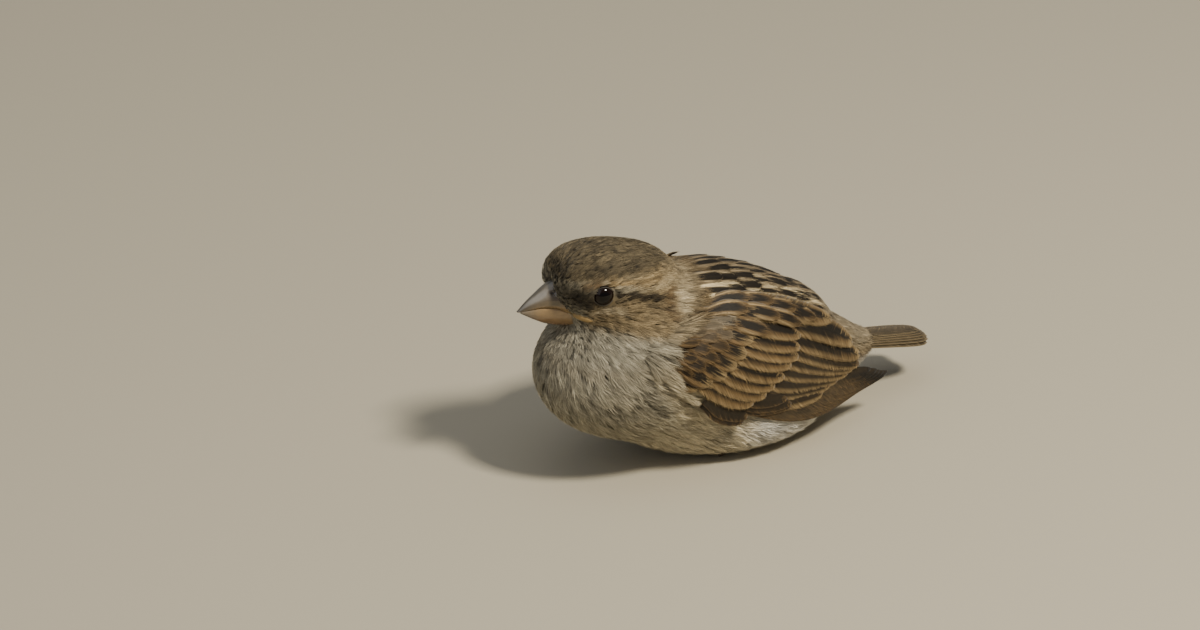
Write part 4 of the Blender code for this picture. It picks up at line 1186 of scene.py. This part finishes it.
def mandible(upper):
    """Half a bill between its cutting edge and its ridge: rings of a rounded roof over a hollowed floor."""
    ridge = CULMEN if upper else GONYS
    tip = ridge[-1][0] - 0.02
    f = CULMEN[0][0] + (tip - CULMEN[0][0]) * np.linspace(0, 1, BILL_STATIONS) ** 0.85
    edge = curve(TOMIUM, f) + (0.05 if upper else -0.05)
    far = curve(ridge, f)
    far = np.maximum(far, edge + 0.16) if upper else np.minimum(far, edge - 0.16)
    wide = curve(BILL_HALF_WIDTH, f) * (1.0 if upper else 0.93)
    roof = np.linspace(0, math.pi, ROOF_POINTS)
    across = np.cos(roof) * wide[:, None] * (1 - 0.30 * np.sin(roof) ** 3)
    height = edge[:, None] + np.sin(roof) ** 0.82 * (far - edge)[:, None]
    floor_at = np.linspace(-1, 1, FLOOR_POINTS + 2)[1:-1]
    floor_across = floor_at * wide[:, None]
    sink = 0.22 * (far - edge)[:, None] * (1 - floor_at**2)
    across = np.concatenate((across, floor_across), 1)
    height = np.concatenate((height, edge[:, None] + sink), 1)
    forward = f[:, None] + 0 * across
    # The nostril: a shallow oval pit in the side, close to the feathers.
    pit = np.exp(-(((forward - 14.2) / 0.7) ** 2 + ((height - 2.0) / 0.45) ** 2))
    if upper:
        across = across - np.sign(across) * 0.55 * pit
        # A faint groove above the cutting edge.
        groove = np.exp(-(((height - edge[:, None] - 0.75) / 0.35) ** 2)) * ease(20, 16, forward)
        across = across * (1 - 0.03 * groove)
    else:
        across, height = across[:, ::-1], height[:, ::-1]
    rings = from_head(np.stack((forward, across, height), -1))
    above = np.clip((height - edge[:, None]) / (far - edge)[:, None], 0, 1)
    if upper:
        made = lay(HORN_EDGE + 0 * rings, rgb(88, 76, 59), ease(0.03, 0.12, above))
        # Painted highlight: the upper half of the side is laid in the lightened grey horn, for the shine
        # along the upper mandible.
        made = lay(made, HORN_AND_HIGHLIGHT, ease(0.25, 0.75, above))
        made = lay(made, HORN_DARK, ease(0.86, 0.99, above) * 0.7)
        made = lay(made, HORN_DARK, ease(17.5, 21.5, forward) * 0.7)
        round_nostril = np.exp(-(((forward - 13.9) / 1.2) ** 2 + ((height - 1.9) / 1.0) ** 2))
        made = lay(made, rgb(84, 66, 46), round_nostril * 0.8)
        made = lay(made, HORN_PALE, ease(13.6, 12.0, forward) * ease(0.42, 0.2, above) * 0.85)
        # Painted shade: the nostril pit is coloured much darker than the horn round it.
        made = made * (1 - 0.85 * pit)[..., None]
    else:
        made = lay(HORN_PALE + 0 * rings, HORN_PINK, ease(0.3, 0.9, above) * 0.8)
        made = lay(made, HORN_AND_HIGHLIGHT, ease(16.5, 20.5, forward) * 0.75)
        made = lay(made, GAPE, ease(11.5, 8.5, forward) * ease(0.5, 0.1, above) * 0.7)
    return rings, made


bill_horn = horn_material("bill_horn", roughness=0.26, relief=0.45, coat_weight=1.0)
for name, upper in (("bill_upper", True), ("bill_lower", False)):
    rings, colour = mandible(upper)
    piece = tube_piece(name + "_horn", rings, colour)
    piece.data.materials.append(bill_horn)
    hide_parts(name)


def head_side(f, u, hand):
    """The place on the head's surface level with (f, u), on the left (hand 1) or the right (-1)."""
    start = from_head(np.stack((f, 0 * f, u), -1))
    way = np.broadcast_to(hand * HEAD_AXES[1], start.shape)
    return start + way * reach(start, way)[..., None]


GAPE_FRONT, GAPE_CORNER = 12.6, 7.5  # where along the bill the flange starts and ends
gape_soft = horn_material("gape_flange", roughness=0.5, relief=0.3, coat_weight=0.05)
gape_f = np.linspace(GAPE_FRONT, GAPE_CORNER, 22)
gape_u = curve(TOMIUM, gape_f) + 0.12 * ease(9, GAPE_CORNER, gape_f)
gape_thick = 0.10 + 0.58 * ease(GAPE_FRONT, 9.6, gape_f) * ease(7.1, 8.6, gape_f)
for hand, side in ((1, "left"), (-1, "right")):
    on_bill = curve(BILL_HALF_WIDTH, gape_f) - 0.12
    l_head = hand * in_head(head_side(gape_f, gape_u, hand))[1]
    l = np.maximum(on_bill, np.where(gape_f < 10.5, l_head - 0.1, 0))
    spine = from_head(np.stack((gape_f, hand * l, gape_u), -1))
    turn_angle = turns(12)
    ahead = unit(np.gradient(spine, axis=0))
    up = np.broadcast_to(HEAD_AXES[2], spine.shape)
    out = unit(np.cross(ahead, up))
    up = np.cross(out, ahead)
    round_lip = np.cos(turn_angle)[:, None] * out[:, None] * 0.7 + np.sin(turn_angle)[:, None] * up[:, None]
    rings = spine[:, None] + round_lip * gape_thick[:, None, None]
    # Painted shade: a darker line along the middle of the flange, where its upper and lower lips fold
    # together.
    gape_crease_shade = np.exp(-((np.sin(turn_angle) / 0.25) ** 2)) * np.ones((len(gape_f), 1))
    colour = lay(GAPE + 0 * rings, GAPE * 0.6, gape_crease_shade * 0.6)
    piece = tube_piece(f"gape_{side}", rings[:, ::-1], colour[:, ::-1])
    piece.data.materials.append(gape_soft)
    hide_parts("bill_lower")

# ---- eyes ------------------------------------------------------------------------------------------
# Glossy dark eyeballs set into the head: a black pupil in a dark brown iris under a clear wet surface,
# ringed by bare grey lids, the lower a little paler, with tiny bristly feathers round them.

LID, PUPIL, IRIS = rgb(96, 88, 75), rgb(12, 8, 6), rgb(26, 17, 11)
LID_OPENING = 2.12  # half the width of the opening between the lids
eye_wet, tree, shader = new_material("eye_wet", roughness=0.07, specular=0.15)
iris = add_node(tree, "Attribute", attribute_name="plume")
tree.links.new(iris.outputs["Color"], shader.inputs["Base Color"])
shader.inputs["Coat Weight"].default_value = 0.3
shader.inputs["Coat Roughness"].default_value = 0.02
lid_skin = horn_material("lid_skin", roughness=0.6, relief=1.0, coat_weight=0.0)
for hand, side in ((1, "left"), (-1, "right")):
    centre = from_head((EYE_AT[0], hand * EYE_AT[1], EYE_AT[2]))
    gaze = unit(HEAD_AXES[1] * hand + 0.16 * HEAD_AXES[0] + 0.05 * HEAD_AXES[2])
    level = unit(HEAD_AXES[0] - (HEAD_AXES[0] @ gaze) * gaze)
    above = np.cross(gaze, level) * hand * -1
    above = above * np.sign(above[2])
    down = np.linspace(0.02, math.pi * 0.98, 34)
    turn_angle = turns(36)
    ring = np.cos(turn_angle)[:, None] * level + np.sin(turn_angle)[:, None] * above
    ball = EYE_RADIUS * (np.cos(down)[:, None, None] * gaze + np.sin(down)[:, None, None] * ring)
    iris_share = ease(0.42, 0.55, np.sin(down)) * (np.cos(down) > 0)
    colour = lay(PUPIL, IRIS, iris_share * ease(0.95, 0.8, np.sin(down)))
    colour = np.repeat(colour[:, None], len(turn_angle), 1)
    rings = centre + ball
    piece = tube_piece(f"eyeball_{side}", rings if hand > 0 else rings[:, ::-1], colour)
    piece.data.materials.append(eye_wet)
    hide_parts(f"eye_{side}")
    # Lids: a soft rim lying on the ball, a little longer from corner to corner than it is high.
    angle, around = turns(72), turns(10)
    corner = 1 + 0.10 * np.cos(angle) ** 8
    wide = LID_OPENING * corner * np.where(np.sin(angle) > 0, 0.95, 1.0) ** np.abs(np.sin(angle))
    spoke = np.cos(angle)[:, None] * level + np.sin(angle)[:, None] * above
    rest = np.sqrt(np.maximum(EYE_RADIUS**2 - np.minimum(wide, 2.4) ** 2, 0))
    spine = centre + spoke * wide[:, None] + gaze * (rest + 0.02)[:, None]
    fold = 0.12 + 0.01 * np.cos(angle * 9) + 0.04 * ease(0.3, -0.6, np.sin(angle))
    profile = np.cos(around)[:, None] * spoke[:, None] * 1.25 + np.sin(around)[:, None] * gaze
    rings = spine[:, None] + profile * fold[:, None, None]
    colour = LID * (0.22 + 0.36 * (0.5 - 0.5 * np.sin(angle + 0.5)))[:, None, None] + 0 * rings
    colour = lay(colour, LORE, ease(0.2, -0.9, np.cos(around))[None] * 0.85 + 0 * rings[..., 0])
    quads = grid_faces(len(angle), len(around), looped=True)
    piece = make_piece(f"lids_{side}", rings.reshape(-1, 3), quads if hand > 0 else quads[:, ::-1],
                       colour=colour.reshape(-1, 3))
    piece.data.materials.append(lid_skin)
    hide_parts(f"eye_{side}")

# ---- legs, feet and claws --------------------------------------------------------------------------
# Short legs folded under the plumage: pinkish-brown scaled skin on the shanks and toes, dark horn claws.
# They keep the frame's own shapes, and get their finish here.


def two_tone(tree, shader, share, dark, pale, full=1.0):
    """The shader's colour, running from dark to pale as the share rises from 0 to full."""
    ramp = add_node(tree, "ValToRGB", {"Fac": share})
    low, high = ramp.color_ramp.elements
    low.color, high.color, high.position = (*dark, 1), (*pale, 1), full
    tree.links.new(ramp.outputs["Color"], shader.inputs["Base Color"])


leg_skin, tree, shader = new_material("leg_scales", roughness=0.55, specular=0.35)
place = add_node(tree, "TexCoord").outputs["Object"]
scales = add_node(tree, "TexVoronoi", {"Vector": place, "Scale": 900}, feature="DISTANCE_TO_EDGE")
scales = scales.outputs["Distance"]
two_tone(tree, shader, scales, rgb(92, 66, 48), rgb(158, 122, 92), 0.18)
add_relief(tree, shader, scales, 0.8, 0.12)

claw_horn, tree, shader = new_material("claw_horn", roughness=0.35, specular=0.4)
place = add_node(tree, "TexCoord").outputs["Object"]
streaks = add_node(tree, "TexNoise", {"Vector": place, "Scale": 1400}).outputs["Fac"]
two_tone(tree, shader, streaks, rgb(46, 36, 28), rgb(104, 82, 62))

for piece in list(bpy.data.objects):
    if piece.name.startswith(("leg_", "foot_", "claw_")) and piece.type == "MESH":
        paint = claw_horn if piece.name.startswith("claw_") else leg_skin
        for slot in piece.material_slots:
            slot.material = paint

# ---- camera, floor and light -----------------------------------------------------------------------
# A pale matt floor under the bird, and a long lens looking down at its left front. The light is a soft
# warm key from its left and above, with two wide weak fills.

FLOOR_HALF = 1.5
floor_corners = [(x * FLOOR_HALF, y * FLOOR_HALF, 0) for x, y in ((-1, -1), (1, -1), (1, 1), (-1, 1))]
floor_mesh = bpy.data.meshes.new("floor")
floor_mesh.from_pydata(floor_corners, [], [(0, 1, 2, 3)])
floor = bpy.data.objects.new("floor", floor_mesh)
bpy.context.scene.collection.objects.link(floor)
floor_paint, tree, shader = new_material("pale_floor", roughness=0.9, specular=0.5)
shader.inputs["Base Color"].default_value = (0.45, 0.405, 0.305, 1)
floor_mesh.materials.append(floor_paint)

CAMERA_ROUND, CAMERA_UP, CAMERA_AWAY = math.radians(55), math.radians(25), 1.773
look_at = np.array((-12.5, -11.5 - MID_Y, 28.9)) * MM
camera_way = np.array(
    (
        math.sin(CAMERA_ROUND) * math.cos(CAMERA_UP),
        -math.cos(CAMERA_ROUND) * math.cos(CAMERA_UP),
        math.sin(CAMERA_UP),
    )
)
camera_data = bpy.data.cameras.new("camera")
camera_data.lens = 250
camera_data.sensor_width = 36
camera_data.clip_start = 0.01
camera = bpy.data.objects.new("camera", camera_data)
camera.location = look_at + camera_way * CAMERA_AWAY
camera.rotation_euler = (math.pi / 2 - CAMERA_UP, 0, CAMERA_ROUND)
bpy.context.scene.collection.objects.link(camera)
bpy.context.scene.camera = camera


def soft_light(name, round_deg, up_deg, away, size, power, colour):
    """A square area light that looks at the bird from the given bearing and height."""
    data = bpy.data.lights.new(name, "AREA")
    data.size, data.energy, data.color = size, power, colour
    light = bpy.data.objects.new(name, data)
    a, e = math.radians(round_deg), math.radians(up_deg)
    light.location = (
        away * math.sin(a) * math.cos(e),
        -away * math.cos(a) * math.cos(e),
        0.02 + away * math.sin(e),
    )
    light.rotation_euler = (math.pi / 2 - e, 0, a)
    bpy.context.scene.collection.objects.link(light)


soft_light("key", round_deg=104, up_deg=52, away=0.9, size=0.14, power=11.0, colour=(1.0, 0.93, 0.80))
soft_light("fill", round_deg=10, up_deg=35, away=1.0, size=0.8, power=1.6, colour=(0.95, 0.97, 1.0))
soft_light("top", round_deg=0, up_deg=88, away=1.0, size=0.9, power=1.5, colour=(1.0, 1.0, 1.0))
world = bpy.context.scene.world or bpy.data.worlds.new("world")
bpy.context.scene.world = world
world.use_nodes = True
sky = world.node_tree.nodes["Background"].inputs
sky["Color"].default_value, sky["Strength"].default_value = (0.75, 0.78, 0.82, 1), 0.28
